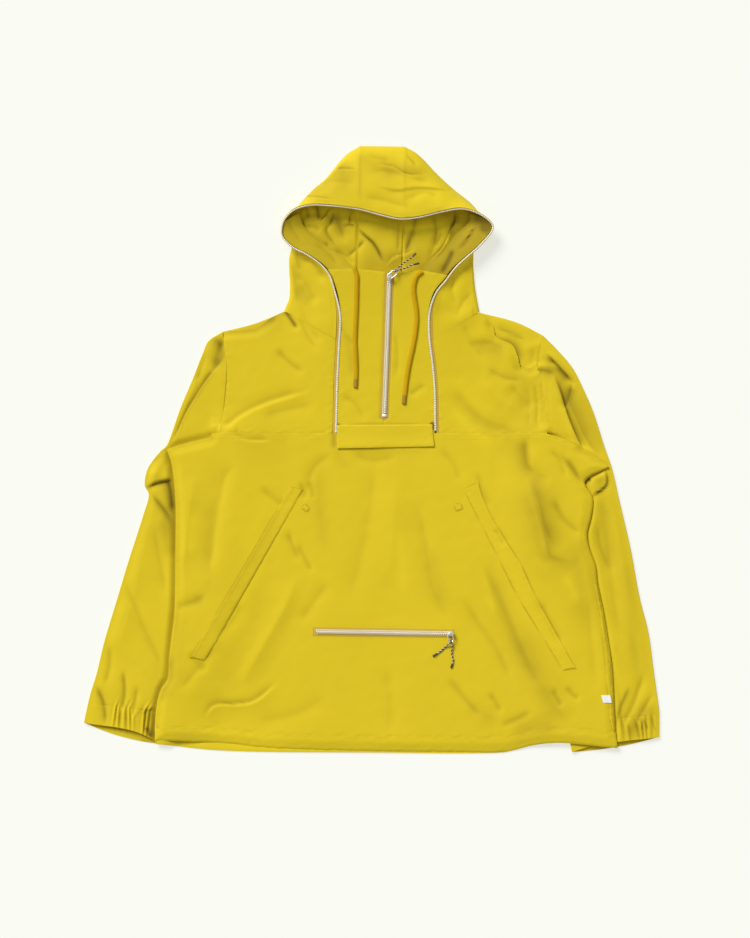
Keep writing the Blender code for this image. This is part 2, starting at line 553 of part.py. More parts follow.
def ringSection(topPlan, bottomPlan, heights):
    """Outer and inner points of one section of a flattened tube."""
    outer, inner = [], []
    for radius, ring in ((FOLD_RADIUS, outer), (FOLD_RADIUS - CLOTH, inner)):
        gap = FOLD_RADIUS - radius
        bottom = bottomPlan.copy()
        top = topPlan.copy()
        for k in range(1, len(bottom) - 1):
            ring.append((*bottom[k], gap))
        for end, nextTop, nextBottom in ((-1, -2, -2), (0, 1, 1)):
            middle = 0.5 * (top[end] + bottom[end])
            inward = 0.5 * (top[nextTop] + bottom[nextBottom]) - middle
            inward /= np.linalg.norm(inward)
            centre = middle + FOLD_RADIUS * inward
            turn = (-60, 0, 60) if end == -1 else (60, 0, -60)
            for angle in turn:
                a = math.radians(angle)
                place = centre - radius * math.cos(a) * inward
                ring.append((*place, FOLD_RADIUS + radius * math.sin(a)))
            if end == -1:
                for k in range(len(top) - 2, 0, -1):
                    ring.append((*top[k], heights[k] - gap))
    return np.array(outer), np.array(inner)


def ringTube(name, sections, paint=cloth):
    """Hollow tube through outer and inner rings, open at both ends."""
    count = len(sections[0][0])
    verts, faces = [], []
    for outer, inner in sections:
        verts += list(outer) + list(inner)
    for i in range(len(sections) - 1):
        a, b = 2 * count * i, 2 * count * (i + 1)
        for j in range(count):
            k = (j + 1) % count
            faces.append((a + j, a + k, b + k, b + j))
            faces.append((a + count + j, b + count + j, b + count + k, a + count + k))
    last = 2 * count * (len(sections) - 1)
    for j in range(count):
        k = (j + 1) % count
        faces.append((j, count + j, count + k, k))
        faces.append((last + j, last + k, last + count + k, last + count + j))
    return addMesh(name, verts, faces, paint)


def sleeve(name, rows, armhole):
    across = np.array(SLEEVE_ACROSS)
    sections = []
    for i, (ox, oy, ix, iy) in enumerate(rows):
        share = max(0.0, 1 - i / 2) ** 2
        plan = bowed((ox, oy), (ix, iy), across, 0, (armhole, share))
        if i == 0:
            plan[:, 0] += 3 * SEAM_INSET * np.sign(ox)
        high = sleeveHeight(plan[:, 0], plan[:, 1])
        if i < 3:
            beside = frontHeight(plan[:, 0] - 8 * np.sign(ox), plan[:, 1]) + CLOTH
            level = np.clip(beside, SLEEVE_PRESSED, SLEEVE_FREE + 1)
            above = ease((plan[:, 1] - LIFT_FULL) / 30)
            high = high + (level - high) * (1 - i / 3) * above
        high = 2 * FOLD_RADIUS + (high - 2 * FOLD_RADIUS) * ease(across / 0.15) * ease((1 - across) / 0.1)
        sections.append(ringSection(plan, plan, high))
    return ringTube(name, sections)


def cuff(name, start, mouth):
    """Elastic casing: the sleeve's last section, puckered, down to the open mouth."""
    ox, oy, ix, iy, upBow, downBow = mouth
    first = np.array(start, float)
    last = np.array((ox, oy, ix, iy), float)
    across = np.linspace(0, 1, CUFF_ACROSS)
    sections = []
    for t in CUFF_SECTIONS:
        row = first + t * (last - first)
        top = bowed(row[:2], row[2:], across, upBow * t)
        bottom = bowed(row[:2], row[2:], across, downBow * t)
        if t > 0.99:
            top[[0, -1]] = bottom[[0, -1]]
        high = sleeveHeight(top[:, 0], top[:, 1])
        wave = np.sin(2 * math.pi * CUFF_PUCKERS * across)
        under = ease((high - SLEEVE_PRESSED) / 1.5)
        high = high + CUFF_PUCKER_DEPTH * wave * under * math.sin(math.pi * min(t + 0.25, 1))
        high = 2 * FOLD_RADIUS + (high - 2 * FOLD_RADIUS) * ease(across / 0.12) * ease((1 - across) / 0.1)
        sections.append(ringSection(top, bottom, high))
    return ringTube(name, sections)


for label, rows, armhole, mouth in (("left", SLEEVE_LEFT, ARMHOLE_LEFT[::-1], CUFF_MOUTH_LEFT),
                                    ("right", SLEEVE_RIGHT, ARMHOLE_RIGHT[::-1], CUFF_MOUTH_RIGHT)):
    sleeve("sleeve_" + label, rows, armhole)
    cuff("cuff_" + label, rows[-1], mouth)


# ---------- hood ----------

def hoodSection(rim, fold, end, sag):
    """Points of one section: along the surface, round the fold and up to the rim."""
    rim = np.array(rim, float)
    fold = np.array((*fold, 0), float)
    end = np.array((*end, 0), float)
    inward = end - fold
    inward /= np.linalg.norm(inward)
    near = fold + min(5.0, 0.6 * np.linalg.norm(end - fold)) * inward
    floor = [end + t * (near - end) for t in np.linspace(0, 1, FLOOR_POINTS)]
    flat = rim - fold
    flat[2] = 0
    base = 2 * FOLD_RADIUS
    rise = []
    for t in np.linspace(0.06, 1, 14):
        up = (1 - sag) * (1 - (1 - t) ** 2.2) + sag * t ** 1.8
        place = fold + t * flat
        place[2] = base + (rim[2] - base) * up
        rise.append(place)
    side = fold + np.array((0, 0, FOLD_RADIUS)) - 0.4 * inward
    bend = smooth([floor[-1], side] + rise, RISE_POINTS)
    return np.array(floor[:-1] + list(bend))


def hoodSide(name, rows, top, foot, side):
    """Side of the hood: its sections end on the straight seam from the crown to the neck."""
    sections = []
    for i, (rx, ry, rz, fx, fy, endY, sag) in enumerate(rows):
        shift = side * HOOD_SEAM_INSET if i == 0 else 0
        seamX = np.interp(endY, (foot[1], top[1]), (foot[0], top[0]))
        end = (seamX + side * SEAM_INSET, endY)
        sections.append(hoodSection((rx + shift, ry, rz), (fx + shift, fy), end, sag))
    return sheet(name, np.array(sections))


hoodSide("hood_left", HOOD_LEFT, CROWN_LEFT_TOP, HOOD_FLOOR_LEFT, -1)
hoodSide("hood_right", HOOD_RIGHT, CROWN_RIGHT_TOP, HOOD_FLOOR_RIGHT, 1)

crown = []
rimBetween = [row[:3] for row in HOOD_ZIP if CROWN_LEFT_TOP[0] < row[0] < CROWN_RIGHT_TOP[0]]
crownRim = along([HOOD_LEFT[0][:3]] + rimBetween + [HOOD_RIGHT[0][:3]], CENTRE_SECTIONS + 1)
for t, rim in zip(np.linspace(0, 1, CENTRE_SECTIONS + 1), crownRim):
    keep = SEAM_INSET * (1 - 2 * t)
    fold = (CROWN_LEFT_TOP[0] + t * (CROWN_RIGHT_TOP[0] - CROWN_LEFT_TOP[0]) + keep,
            CROWN_LEFT_TOP[1] + t * (CROWN_RIGHT_TOP[1] - CROWN_LEFT_TOP[1]))
    end = (HOOD_FLOOR_LEFT[0] + t * (HOOD_FLOOR_RIGHT[0] - HOOD_FLOOR_LEFT[0]) + keep, HOOD_FLOOR_LEFT[1])
    crown.append(hoodSection((rim[0] + keep, rim[1], rim[2]), fold, end, 0.0))
sheet("hood_centre", np.array(crown))


# ---------- zip round the hood ----------

def zipRoute():
    """Rows of the whole zip (x, y, z or nan on the body, width, rise), flap to flap."""
    left = [(x, y, math.nan, ZIP_WIDTH, 0) for x, y in ZIP_LEG_LEFT]
    right = [(x, y, math.nan, ZIP_WIDTH, 0) for x, y in ZIP_LEG_RIGHT]
    rows = np.array(left + HOOD_ZIP + right, float)
    onBody = np.isnan(rows[:, 2])
    rows[onBody, 2] = frontHeight(rows[onBody, 0], rows[onBody, 1])
    return rows


def ribbonFrames(rows, count):
    """Edges of the zip and its direction, at points spaced evenly along it."""
    fine = smooth(rows, count)
    run = np.gradient(fine[:, :2], axis=0)
    run /= np.linalg.norm(run, axis=1)[:, None]
    inward = np.column_stack([run[:, 1], -run[:, 0]])
    outer = fine[:, :3]
    inner = np.column_stack([outer[:, :2] + fine[:, 3:4] * inward, outer[:, 2] + fine[:, 4]])
    return outer, inner


zipOuter, zipInner = ribbonFrames(zipRoute(), ZIP_STATIONS)


def ribbon(name, outer, inner, span, thick, paint):
    """Strip between two fractions of the zip's width."""
    across = inner - outer
    unit = across / np.linalg.norm(across, axis=1)[:, None]
    run = np.gradient(outer, axis=0)
    up = np.cross(unit, run)
    up /= np.linalg.norm(up, axis=1)[:, None]
    up = np.where(up[:, 2:3] < 0, -up, up)
    low = np.stack([outer + span[0] * across, outer + span[1] * across], axis=1)
    return wall(name, low, low + thick * up[:, None, :], paint)


ribbon("hood_zip_tape", zipOuter, zipInner, ZIP_TAPE_SPAN, CLOTH, tape)
ribbon("hood_zip_teeth", zipOuter, zipInner, ZIP_TEETH_SPAN, TOOTH_HEIGHT, metal)


# ---------- bib, chest zip and facings ----------

def zipStations(yLow, yHigh, left):
    """Indices of the zip's stations on one leg between two heights up the body."""
    half = ZIP_STATIONS // 2
    span = range(half) if left else range(half, ZIP_STATIONS)
    return [i for i in span if yLow <= zipInner[i][1] <= yHigh and zipInner[i][2] < 26]


stationsLeft = zipStations(0, COLLAR_Y[0], True)
stationsRight = zipStations(0, COLLAR_Y[1], False)
legInLeft = [tuple(zipInner[i][:2]) for i in stationsLeft]
legInRight = [tuple(zipInner[i][:2]) for i in stationsRight][::-1]
chestLine = smooth([CHEST_ZIP_FOOT, CHEST_ZIP_MIDDLE, CHEST_ZIP_TOP], 9)
halfTape = np.array([0.5 * CHEST_TAPE, 0])
chestLeft = [tuple(p) for p in chestLine - halfTape]
chestRight = [tuple(p) for p in chestLine + halfTape]

bibLeft = panel("bib_left", ([legInLeft[0], chestLeft[0]], chestLeft,
                             [legInLeft[-1], COLLAR_TOP_LEFT, chestLeft[-1]], legInLeft),
                4, len(legInLeft) - 1, frontHeight)
bibRight = panel("bib_right", ([chestRight[0], legInRight[0]], legInRight,
                               [chestRight[-1], COLLAR_TOP_RIGHT, legInRight[-1]], chestRight),
                 4, len(legInRight) - 1, frontHeight)
chestTape = panel("chest_zip_tape", ([chestLeft[0], chestRight[0]], chestRight,
                                     [chestLeft[-1], chestRight[-1]], chestLeft), 3, 8, frontHeight, tape)


def chestX(y):
    return np.interp(y, chestLine[:, 1], chestLine[:, 0])


def onFront(x, y):
    return frontHeight(x, y) + CLOTH + SIT


chainYs = np.linspace(CHEST_STOP_Y, CHEST_ZIP_TOP[1] - 10, 9)
chainLeft = [(chestX(y) - 0.5 * TOOTH_ROW, y) for y in chainYs]
chainRight = [(chestX(y) + 0.5 * TOOTH_ROW, y) for y in chainYs]
panel("chest_zip_teeth", ([chainLeft[0], chainRight[0]], chainRight, [chainLeft[-1], chainRight[-1]],
                          chainLeft), 1, 8, onFront, metal, TOOTH_HEIGHT)
stopX = chestX(CHEST_STOP_Y)
stopLow, stopHigh = (CHEST_STOP_Y - below for below in STOP_SPAN)
a, b = (stopX - STOP_HALF, stopLow), (stopX + STOP_HALF, stopLow)
c, d = (stopX - STOP_HALF, stopHigh), (stopX + STOP_HALF, stopHigh)
panel("chest_zip_stop", ([a, b], [b, d], [c, d], [a, c]), 1, 1, onFront, metal, 1.8)


def facing(name, edge, line, heights, steps):
    """Strip inside the hood from the zip's inner edge down to its own inner line."""
    low = along([(x, y, z) for (x, y), z in zip(line, heights)], len(edge))
    grid = np.array([[a + t * (b - a) for t in np.linspace(0.04, 1, steps)] for a, b in zip(edge, low)])
    du = np.gradient(grid, axis=1)
    dv = np.gradient(grid, axis=0)
    up = np.cross(du, dv)
    up /= np.linalg.norm(up, axis=2)[..., None]
    up = np.where(up[..., 2:3] < 0, -up, up)
    return wall(name, grid, grid + CLOTH * up, cloth)


leftEdge = zipInner[stationsLeft[-1]:stationsLeft[-1] + FACING_STATIONS]
rightEdge = zipInner[stationsRight[0] - FACING_STATIONS + 1:stationsRight[0] + 1][::-1]
facing("facing_left", leftEdge, FACING_LEFT_LINE, FACING_LEFT_HEIGHTS, 4)
facing("facing_right", rightEdge, FACING_RIGHT_LINE, FACING_RIGHT_HEIGHTS, 4)


# ---------- pieces that lie on the front ----------

def liesOn(pieces, reach=7.0):
    """Height function just above the highest point of some pieces around each place."""
    tops = [topOf(piece) for piece in pieces]

    def height(x, y):
        best = np.full(np.shape(x), -1.0)
        for dx in (-reach, 0, reach):
            for dy in (-reach, 0, reach):
                for top in tops:
                    best = np.fmax(best, top(x + dx, y + dy))
        return best + SIT
    return height


onPanel = liesOn([frontPanel])

flapBottom = [FLAP_CORNERS[0], FLAP_CORNERS[1]]
flapRight = [FLAP_CORNERS[1], FLAP_CORNERS[2]]
flapTop = [FLAP_CORNERS[3], FLAP_CORNERS[2]]
flapLeft = [FLAP_CORNERS[0], FLAP_CORNERS[3]]
panel("storm_flap", (flapBottom, flapRight, flapTop, flapLeft), 10, 4,
      liesOn([frontPanel, bibLeft, bibRight, chestTape], 5.0))

panel("pocket_welt_left",
      ([WELT_LEFT_OPENING[-1], WELT_LEFT_STITCHED[-1]], WELT_LEFT_STITCHED[::-1],
       [WELT_LEFT_OPENING[0], WELT_LEFT_STITCHED[0]], WELT_LEFT_OPENING[::-1]), 2, 14, onPanel)
panel("pocket_welt_right",
      ([WELT_RIGHT_STITCHED[-1], WELT_RIGHT_OPENING[-1]], WELT_RIGHT_OPENING[::-1],
       [WELT_RIGHT_STITCHED[0], WELT_RIGHT_OPENING[0]], WELT_RIGHT_STITCHED[::-1]), 2, 15, onPanel)
for label, corners in (("left", PATCH_LEFT), ("right", PATCH_RIGHT)):
    a, b, c, d = corners
    panel("tack_patch_" + label, ([d, c], [c, b], [a, b], [d, a]), 2, 2, liesOn([frontPanel], 3.0), cloth, 1.0)

zipLeft = np.array(POCKET_ZIP_LEFT, float)
zipRight = zipLeft + (POCKET_ZIP_LENGTH, -3)
zipSide = np.array((0, 0.5 * POCKET_TAPE))
rowSide = np.array((0, 0.5 * TOOTH_ROW))
a, b, c, d = zipLeft - zipSide, zipRight - zipSide, zipLeft + zipSide, zipRight + zipSide
pocketTape = panel("pocket_zip_tape", ([a, b], [b, d], [c, d], [a, c]), 14, 3,
                   liesOn([frontPanel], 8.0), tape, 1.0)
chainFrom = zipLeft + (5, 0)
chainTo = zipRight - (9, 0)
a, b, c, d = chainFrom - rowSide, chainTo - rowSide, chainFrom + rowSide, chainTo + rowSide
panel("pocket_zip_teeth", ([a, b], [b, d], [c, d], [a, c]), 14, 1,
      liesOn([pocketTape], 2.0), metal, TOOTH_HEIGHT)


# Side strip down the body's right edge, and the blank label beside it.
stripRight = [(x - 1.5, y) for x, y in BODY_RIGHT if -410 < y < -185]
stripLeft = [(x, y) for y, x in STRIP_LINE]
strip = panel("side_strip", ([stripLeft[-1], stripRight[-1]], stripRight[::-1],
                             [stripLeft[0], stripRight[0]], stripLeft[::-1]),
              1, 8, liesOn([frontPanel], 1.0), cloth, 1.0)
a, b, c, d = LABEL_CORNERS
panel("side_label", ([a, b], [b, c], [d, c], [a, d]), 1, 1, liesOn([frontPanel, strip], 6.0), paper, 1.0)


# ---------- drawcords ----------

def drawcord(name, route, under):
    top = liesOn(under, 3.0)
    pts = smooth(route, 24)
    z = top(pts[:, 0], pts[:, 1]) + 0.5 * DRAWCORD_WIDTH
    z = np.maximum(z, frontHeight(pts[:, 0], pts[:, 1]) + CLOTH + SIT + 0.5 * DRAWCORD_WIDTH)
    line = np.column_stack([pts, z])
    length = np.concatenate([[0], np.cumsum(np.linalg.norm(np.diff(line, axis=0), axis=1))])
    cut = length[-1] - TIP_LENGTH
    body = [tuple(np.interp(t, length, line[:, i]) for i in range(3)) for t in np.linspace(0, cut - 0.4, 14)]
    tip = [tuple(np.interp(t, length, line[:, i]) for i in range(3)) for t in (cut, length[-1])]
    tube(name, body, DRAWCORD_WIDTH, cord)
    lift = 0.5 * (TIP_WIDTH - DRAWCORD_WIDTH)
    tipRoute = [(x, y, z + lift) for x, y, z in tip]
    tube(name + "_tip", tipRoute, TIP_WIDTH, cord, 3)


drawcord("drawcord_left", DRAWCORD_LEFT, [bibLeft])
drawcord("drawcord_right", DRAWCORD_RIGHT, [bibRight])


# ---------- sliders and their pulls ----------

cutters = bpy.data.collections.new("cutters")
bpy.context.scene.collection.children.link(cutters)


def box(name, size, centre, angle, paint, where):
    bpy.ops.mesh.primitive_cube_add(size=1)
    made = bpy.context.object
    made.name = name
    made.data.transform(Matrix.Diagonal((*[MM * c for c in size], 1)))
    made.location = [MM * c for c in centre]
    made.rotation_euler = (0, 0, math.radians(angle))
    made.data.materials.append(paint)
    for old in made.users_collection:
        old.objects.unlink(made)
    where.objects.link(made)
    return made


def hide(piece):
    piece.hide_render = True
    piece.display_type = "WIRE"


def slider(name, x, y, zipAngle, pullAngle, base):
    """Slider body across its zip, with a pierced bail along the pull; returns the axis height."""
    middle = base + 0.5 * SLIDER_BODY[2]
    body = box(name, SLIDER_BODY, (x, y, middle), zipAngle, metal, garment)
    axis = base + SLIDER_BODY[2] + AXIS_ABOVE_BODY
    bailMiddle = base + SLIDER_BODY[2] + 0.5 * BAIL[2] - 0.3
    bail = box(name + "_bail", BAIL, (x, y, bailMiddle), pullAngle, metal, cutters)
    bpy.ops.mesh.primitive_cylinder_add(vertices=16, radius=0.5 * BAIL_HOLE * MM, depth=12 * MM)
    hole = bpy.context.object
    hole.name = name + "_hole"
    hole.location = (x * MM, y * MM, axis * MM)
    hole.rotation_euler = (math.radians(90), 0, math.radians(pullAngle))
    for old in hole.users_collection:
        old.objects.unlink(hole)
    cutters.objects.link(hole)
    bevel = body.modifiers.new("round", "BEVEL")
    bevel.width = 0.9 * MM
    bevel.segments = 2
    for cutter, kind in ((bail, "UNION"), (hole, "DIFFERENCE")):
        hide(cutter)
        joined = body.modifiers.new(kind.lower(), "BOOLEAN")
        joined.operation = kind
        joined.object = cutter
    return axis


def pull(name, x, y, axis, angle, droop, tails, clearance):
    """Wire loop that turns in the bail, with a knotted cord through its far end."""
    joint = bpy.data.objects.new(name + "_axis", None)
    joint.location = (x * MM, y * MM, axis * MM)
    joint.rotation_euler = (0, math.radians(droop), math.radians(angle))
    garment.objects.link(joint)
    half = 0.5 * PULL_WIDTH
    loop = bpy.data.curves.new(name, "CURVE")
    loop.dimensions = "3D"
    loop.bevel_depth = 0.5 * PULL_WIRE * MM
    loop.bevel_resolution = 2
    spline = loop.splines.new("POLY")
    places = []
    near, far, reach = PULL_CORNER, PULL_LENGTH - PULL_CORNER, half - PULL_CORNER
    for cx, cy, start in ((near, -reach, 180), (far, -reach, 270), (far, reach, 0), (near, reach, 90)):
        for step in (0, 45, 90):
            a = math.radians(start + step)
            places.append((cx + PULL_CORNER * math.cos(a), cy + PULL_CORNER * math.sin(a)))
    spline.points.add(len(places) - 1)
    for point, (px, py) in zip(spline.points, places):
        point.co = (px * MM, py * MM, 0, 1)
    spline.use_cyclic_u = True
    loop.materials.append(metal)
    wire = bpy.data.objects.new(name, loop)
    wire.parent = joint
    garment.objects.link(wire)
    bpy.context.view_layer.update()
    end = joint.matrix_world @ Vector(((PULL_LENGTH + 0.5 * PULL_WIRE + 0.5 * KNOT_WIDTH) * MM, 0, 0))
    knotAt = (end + Vector((0, 0, -0.3 * MM))) / MM
    bpy.ops.mesh.primitive_uv_sphere_add(segments=10, ring_count=6, radius=0.5 * KNOT_WIDTH * MM - 0.0002)
    knot = bpy.context.object
    knot.name = name + "_knot"
    knot.location = knotAt * MM
    knot.data.materials.append(dark)
    knot.data.shade_smooth()
    for old in knot.users_collection:
        old.objects.unlink(knot)
    garment.objects.link(knot)
    for k, route in enumerate(tails):
        first = Vector((*route[0], 0)) - Vector((knotAt.x, knotAt.y, 0))
        other = Vector((*tails[1 - k][0], 0)) - Vector((knotAt.x, knotAt.y, 0))
        first.normalize()
        spread = math.copysign(TAIL_SPREAD, other.cross(first).z)
        first.rotate(Matrix.Rotation(math.radians(spread), 3, "Z"))
        begin = knotAt + (0.5 * KNOT_WIDTH + 0.2) * first
        line = [tuple(begin)] + [(px, py, clearance(px, py)) for px, py in route]
        fine = smooth(line, 40)
        length = np.concatenate([[0], np.cumsum(np.linalg.norm(np.diff(fine, axis=0), axis=1))])
        cut = length[-1] - TAIL_TIP[1]
        tail = [tuple(np.interp(t, length, fine[:, i]) for i in range(3))
                for t in np.linspace(0, cut - TAIL_GAP, 7)]
        tip = [tuple(np.interp(t, length, fine[:, i]) for i in range(3)) for t in (cut, length[-1])]
        mark = name.replace("pull", "cord") + "_" + "ab"[k]
        tube(mark, tail, TAIL_WIDTH, dark)
        tube(mark + "_tip", tip, TAIL_TIP[0], dark, 3)


chestX0 = float(chestX(CHEST_SLIDER_Y))
chestBase = float(onFront(chestX0, CHEST_SLIDER_Y)) + TOOTH_HEIGHT + SLIDER_GAP[0]
chestAxis = slider("chest_zip_slider", chestX0, CHEST_SLIDER_Y, 0, CHEST_PULL_ANGLE, chestBase)
pull("chest_zip_pull", chestX0, CHEST_SLIDER_Y, chestAxis, CHEST_PULL_ANGLE, 0, CHEST_TAILS,
     lambda px, py: chestAxis - CHEST_TAIL_FALL * max(0, py - COLLAR_Y[0]))

pocketX0 = float(zipRight[0]) - 6
pocketY0 = float(zipRight[1]) + 0.2
pocketBase = float(liesOn([pocketTape], 4.0)(np.array(pocketX0), np.array(pocketY0))) + TOOTH_HEIGHT + SLIDER_GAP[1]
pocketAxis = slider("pocket_zip_slider", pocketX0, pocketY0, 90, POCKET_PULL_ANGLE, pocketBase)
onCloth = liesOn([frontPanel], 3.0)
pull("pocket_zip_pull", pocketX0, pocketY0, pocketAxis, POCKET_PULL_ANGLE, POCKET_PULL_DROOP, POCKET_TAILS,
     lambda px, py: float(onCloth(np.array(px), np.array(py))) + 1.6)
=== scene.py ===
# Anorak pullover laid flat: its cloth, zips, cords and stitching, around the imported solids.
# Lines and tables are in millimetres; x runs across, y from hem to hood, z up from the surface.
import json
import math

import bpy
import numpy as np
from mathutils import Matrix, Vector
from mathutils.bvhtree import BVHTree

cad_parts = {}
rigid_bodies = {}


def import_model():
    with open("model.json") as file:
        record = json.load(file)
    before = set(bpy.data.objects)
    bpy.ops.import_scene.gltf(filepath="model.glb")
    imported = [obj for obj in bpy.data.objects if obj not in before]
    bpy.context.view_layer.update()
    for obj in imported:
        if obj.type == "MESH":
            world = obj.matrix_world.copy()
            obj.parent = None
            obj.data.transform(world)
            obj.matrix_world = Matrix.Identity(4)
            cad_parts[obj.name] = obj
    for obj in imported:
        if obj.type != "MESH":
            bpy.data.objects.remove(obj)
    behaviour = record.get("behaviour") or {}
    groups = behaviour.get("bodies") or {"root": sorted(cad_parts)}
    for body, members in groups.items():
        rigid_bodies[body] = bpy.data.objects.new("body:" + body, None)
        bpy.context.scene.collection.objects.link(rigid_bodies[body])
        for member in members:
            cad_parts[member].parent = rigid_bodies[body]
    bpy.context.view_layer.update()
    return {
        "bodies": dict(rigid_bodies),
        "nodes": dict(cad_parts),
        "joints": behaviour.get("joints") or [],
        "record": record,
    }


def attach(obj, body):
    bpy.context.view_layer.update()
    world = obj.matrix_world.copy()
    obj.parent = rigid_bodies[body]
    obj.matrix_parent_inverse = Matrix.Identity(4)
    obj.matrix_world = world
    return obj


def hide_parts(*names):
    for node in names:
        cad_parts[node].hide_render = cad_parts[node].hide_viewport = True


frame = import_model()
mm = 0.001

view = {"distance": 5.0, "sensor": 36.0, "tall": 1.3601, "middle": (0.0029, -0.0268)}

lens = bpy.data.cameras.new("camera")
lens.sensor_width = view["sensor"]
lens.lens = view["sensor"] * view["distance"] / view["tall"]
lens.clip_end = 40
camera = bpy.data.objects.new("camera", lens)
camera.location = (*view["middle"], view["distance"])
bpy.context.scene.collection.objects.link(camera)
bpy.context.scene.camera = camera
print("camera placed")


# curves in the plane

def ease(t):
    t = np.clip(t, 0, 1)
    return t * t * (3 - 2 * t)


def smooth(points, count):
    # count points spaced evenly along a Catmull-Rom curve
    pts = np.array(points, float)
    padded = np.vstack([2 * pts[0] - pts[1], pts, 2 * pts[-1] - pts[-2]])
    fine = []
    for i in range(len(pts) - 1):
        a, b, c, d = padded[i:i + 4]
        t = np.linspace(0, 1, 16, endpoint=False)[:, None]
        fine.append(0.5 * (2 * b + (c - a) * t + (2 * a - 5 * b + 4 * c - d) * t ** 2
                           + (3 * b - a - 3 * c + d) * t ** 3))
    fine = np.vstack(fine + [pts[-1:]])
    return sample(fine, np.linspace(0, 1, count))


def runOf(curve):
    # length along a curve up to each of its points
    return np.concatenate([[0], np.cumsum(np.linalg.norm(np.diff(curve, axis=0), axis=1))])


def pointsAt(curve, run, places):
    # where a curve's run reaches the given lengths
    return np.column_stack([np.interp(places, run, curve[:, i]) for i in range(curve.shape[1])])


def sample(curve, shares):
    # points of a polyline at shares of its length
    curve = np.array(curve, float)
    run = runOf(curve)
    return pointsAt(curve, run, np.asarray(shares) * run[-1])


def unit(steps):
    return steps / np.linalg.norm(steps, axis=1)[:, None]


def evened(values, reach):
    # moving average over a number of neighbours on both sides
    width = 2 * reach + 1
    return np.convolve(np.pad(values, reach, mode="edge"), np.ones(width) / width, mode="valid")


def lengthOf(curve):
    return float(np.sum(np.linalg.norm(np.diff(np.array(curve, float), axis=0), axis=1)))


def portion(curve, start, end):
    # the stretch of a curve between the places nearest to two points
    i, j = (int(np.argmin(np.hypot(curve[:, 0] - p[0], curve[:, 1] - p[1]))) for p in (start, end))
    return curve[i:j + 1] if i <= j else curve[j:i + 1][::-1]


def fromLine(x, y, line):
    # signed distance to a polyline, negative on the left of its run, and the share of its length there
    line = np.array(line, float)
    steps, run = np.linalg.norm(np.diff(line, axis=0), axis=1), runOf(line)
    best, side, share = np.full(np.shape(x), 1e9), np.ones(np.shape(x)), np.zeros(np.shape(x))
    for k in range(len(line) - 1):
        (ax, ay), (bx, by) = line[k], line[k + 1]
        dx, dy = bx - ax, by - ay
        t = np.clip(((x - ax) * dx + (y - ay) * dy) / (dx * dx + dy * dy), 0, 1)
        away = np.hypot(x - ax - t * dx, y - ay - t * dy)
        closer = away < best
        best = np.where(closer, away, best)
        side = np.where(closer, np.where((dx * (y - ay) - dy * (x - ax)) > 0, -1, 1), side)
        share = np.where(closer, (run[k] + t * steps[k]) / run[-1], share)
    return best * side, share


# form of a fold: share of its run over which it starts and ends, its profile, and how many widths it spans
foldShape = {"fade": 0.28, "sharp": 1.35, "steep": 1.15, "reach": 2.4}


def creases(x, y, table):
    # sum of folds: row = (height, width, width of the edge, run), or with its own height and width on each side
    total = np.zeros(np.shape(x))
    for *sides, edge, run in table:
        leftHigh, leftWide, rightHigh, rightWide = (2 * sides)[:4]
        line = smooth(run, 4 * len(run) + 3)
        margin = foldShape["reach"] * max(leftWide, rightWide)
        low, high = line.min(axis=0) - margin, line.max(axis=0) + margin
        near = (x > low[0]) & (x < high[0]) & (y > low[1]) & (y < high[1])
        if not near.any():
            continue
        away, share = fromLine(x[near], y[near], line)
        ends = ease(np.minimum(share, 1 - share) / foldShape["fade"])
        left, right = (high * np.exp(-foldShape["steep"] * (abs(away) / wide) ** foldShape["sharp"])
                       for high, wide in ((leftHigh, leftWide), (rightHigh, rightWide)))
        total[near] += (left + (right - left) * ease(0.5 + away / edge)) * ends
    return total


# undulations: number of waves, shortest and longest, seed
undulations = {"front": (9, 80, 200, 3), "frontFine": (14, 18, 46, 5), "sleeve": (9, 40, 120, 21),
               "sleeveFine": (12, 14, 36, 23), "hoodFloor": (8, 30, 90, 41), "crown": (8, 30, 90, 43),
               "crownFine": (10, 12, 30, 44), "pucker": (10, 7, 15, 11)}


def waves(x, y, which):
    # soft seeded undulation of about unit height
    count, shortest, longest, seed = undulations[which]
    draw = np.random.default_rng(seed)
    total = np.zeros(np.shape(x))
    for _ in range(count):
        turn, phase = draw.uniform(0, 2 * math.pi, 2)
        length = draw.uniform(shortest, longest)
        total += np.sin(2 * math.pi * (x * math.cos(turn) + y * math.sin(turn)) / length + phase)
    return total / math.sqrt(count)


# outlines and seams

bodyLeft = [(-299, 2), (-291, -22), (-286, -72), (-286, -141), (-287, -227), (-291, -265),
            (-295, -299), (-297, -330), (-307, -346), (-313, -368), (-316, -401)]
bodyRight = [(342, -24), (307, -44), (318, -69), (316, -95), (310, -120), (313, -141), (322, -167),
             (325, -192), (334, -236), (344, -299), (348, -346), (351, -408)]
yokeLeft = [(-299, 2), (-264, 12), (-238, 18), (-225, 26)]
yokeMiddle = [(-225, 26), (-149, 25), (-62, 25), (99, 25), (184, 24), (252, 24)]
yokeRight = [(252, 24), (304, 2), (342, -24)]
hemSeam = [(-316, -401), (-254, -401), (-207, -404), (-152, -410), (-77, -413), (9, -414),
           (112, -415), (188, -415), (228, -407), (255, -402), (284, -402), (351, -408)]
frontHem = [(-315, -424), (-309, -420), (-254, -422), (-207, -425), (-152, -431), (-77, -434),
            (9, -436), (112, -437), (188, -437), (228, -428), (255, -424), (284, -424), (354, -431)]
backHem = [(-315, -425), (-297, -427), (-233, -434), (-149, -437), (4, -438), (112, -439),
           (184, -438), (203, -434), (228, -428), (252, -424), (284, -423.5), (354, -430.5)]
armholeLeft = [(-225, 26), (-219, 41), (-214, 89), (-212, 125), (-215, 149), (-218, 172)]
armholeRight = [(252, 24), (248, 67), (244, 102), (238, 123), (246, 167)]
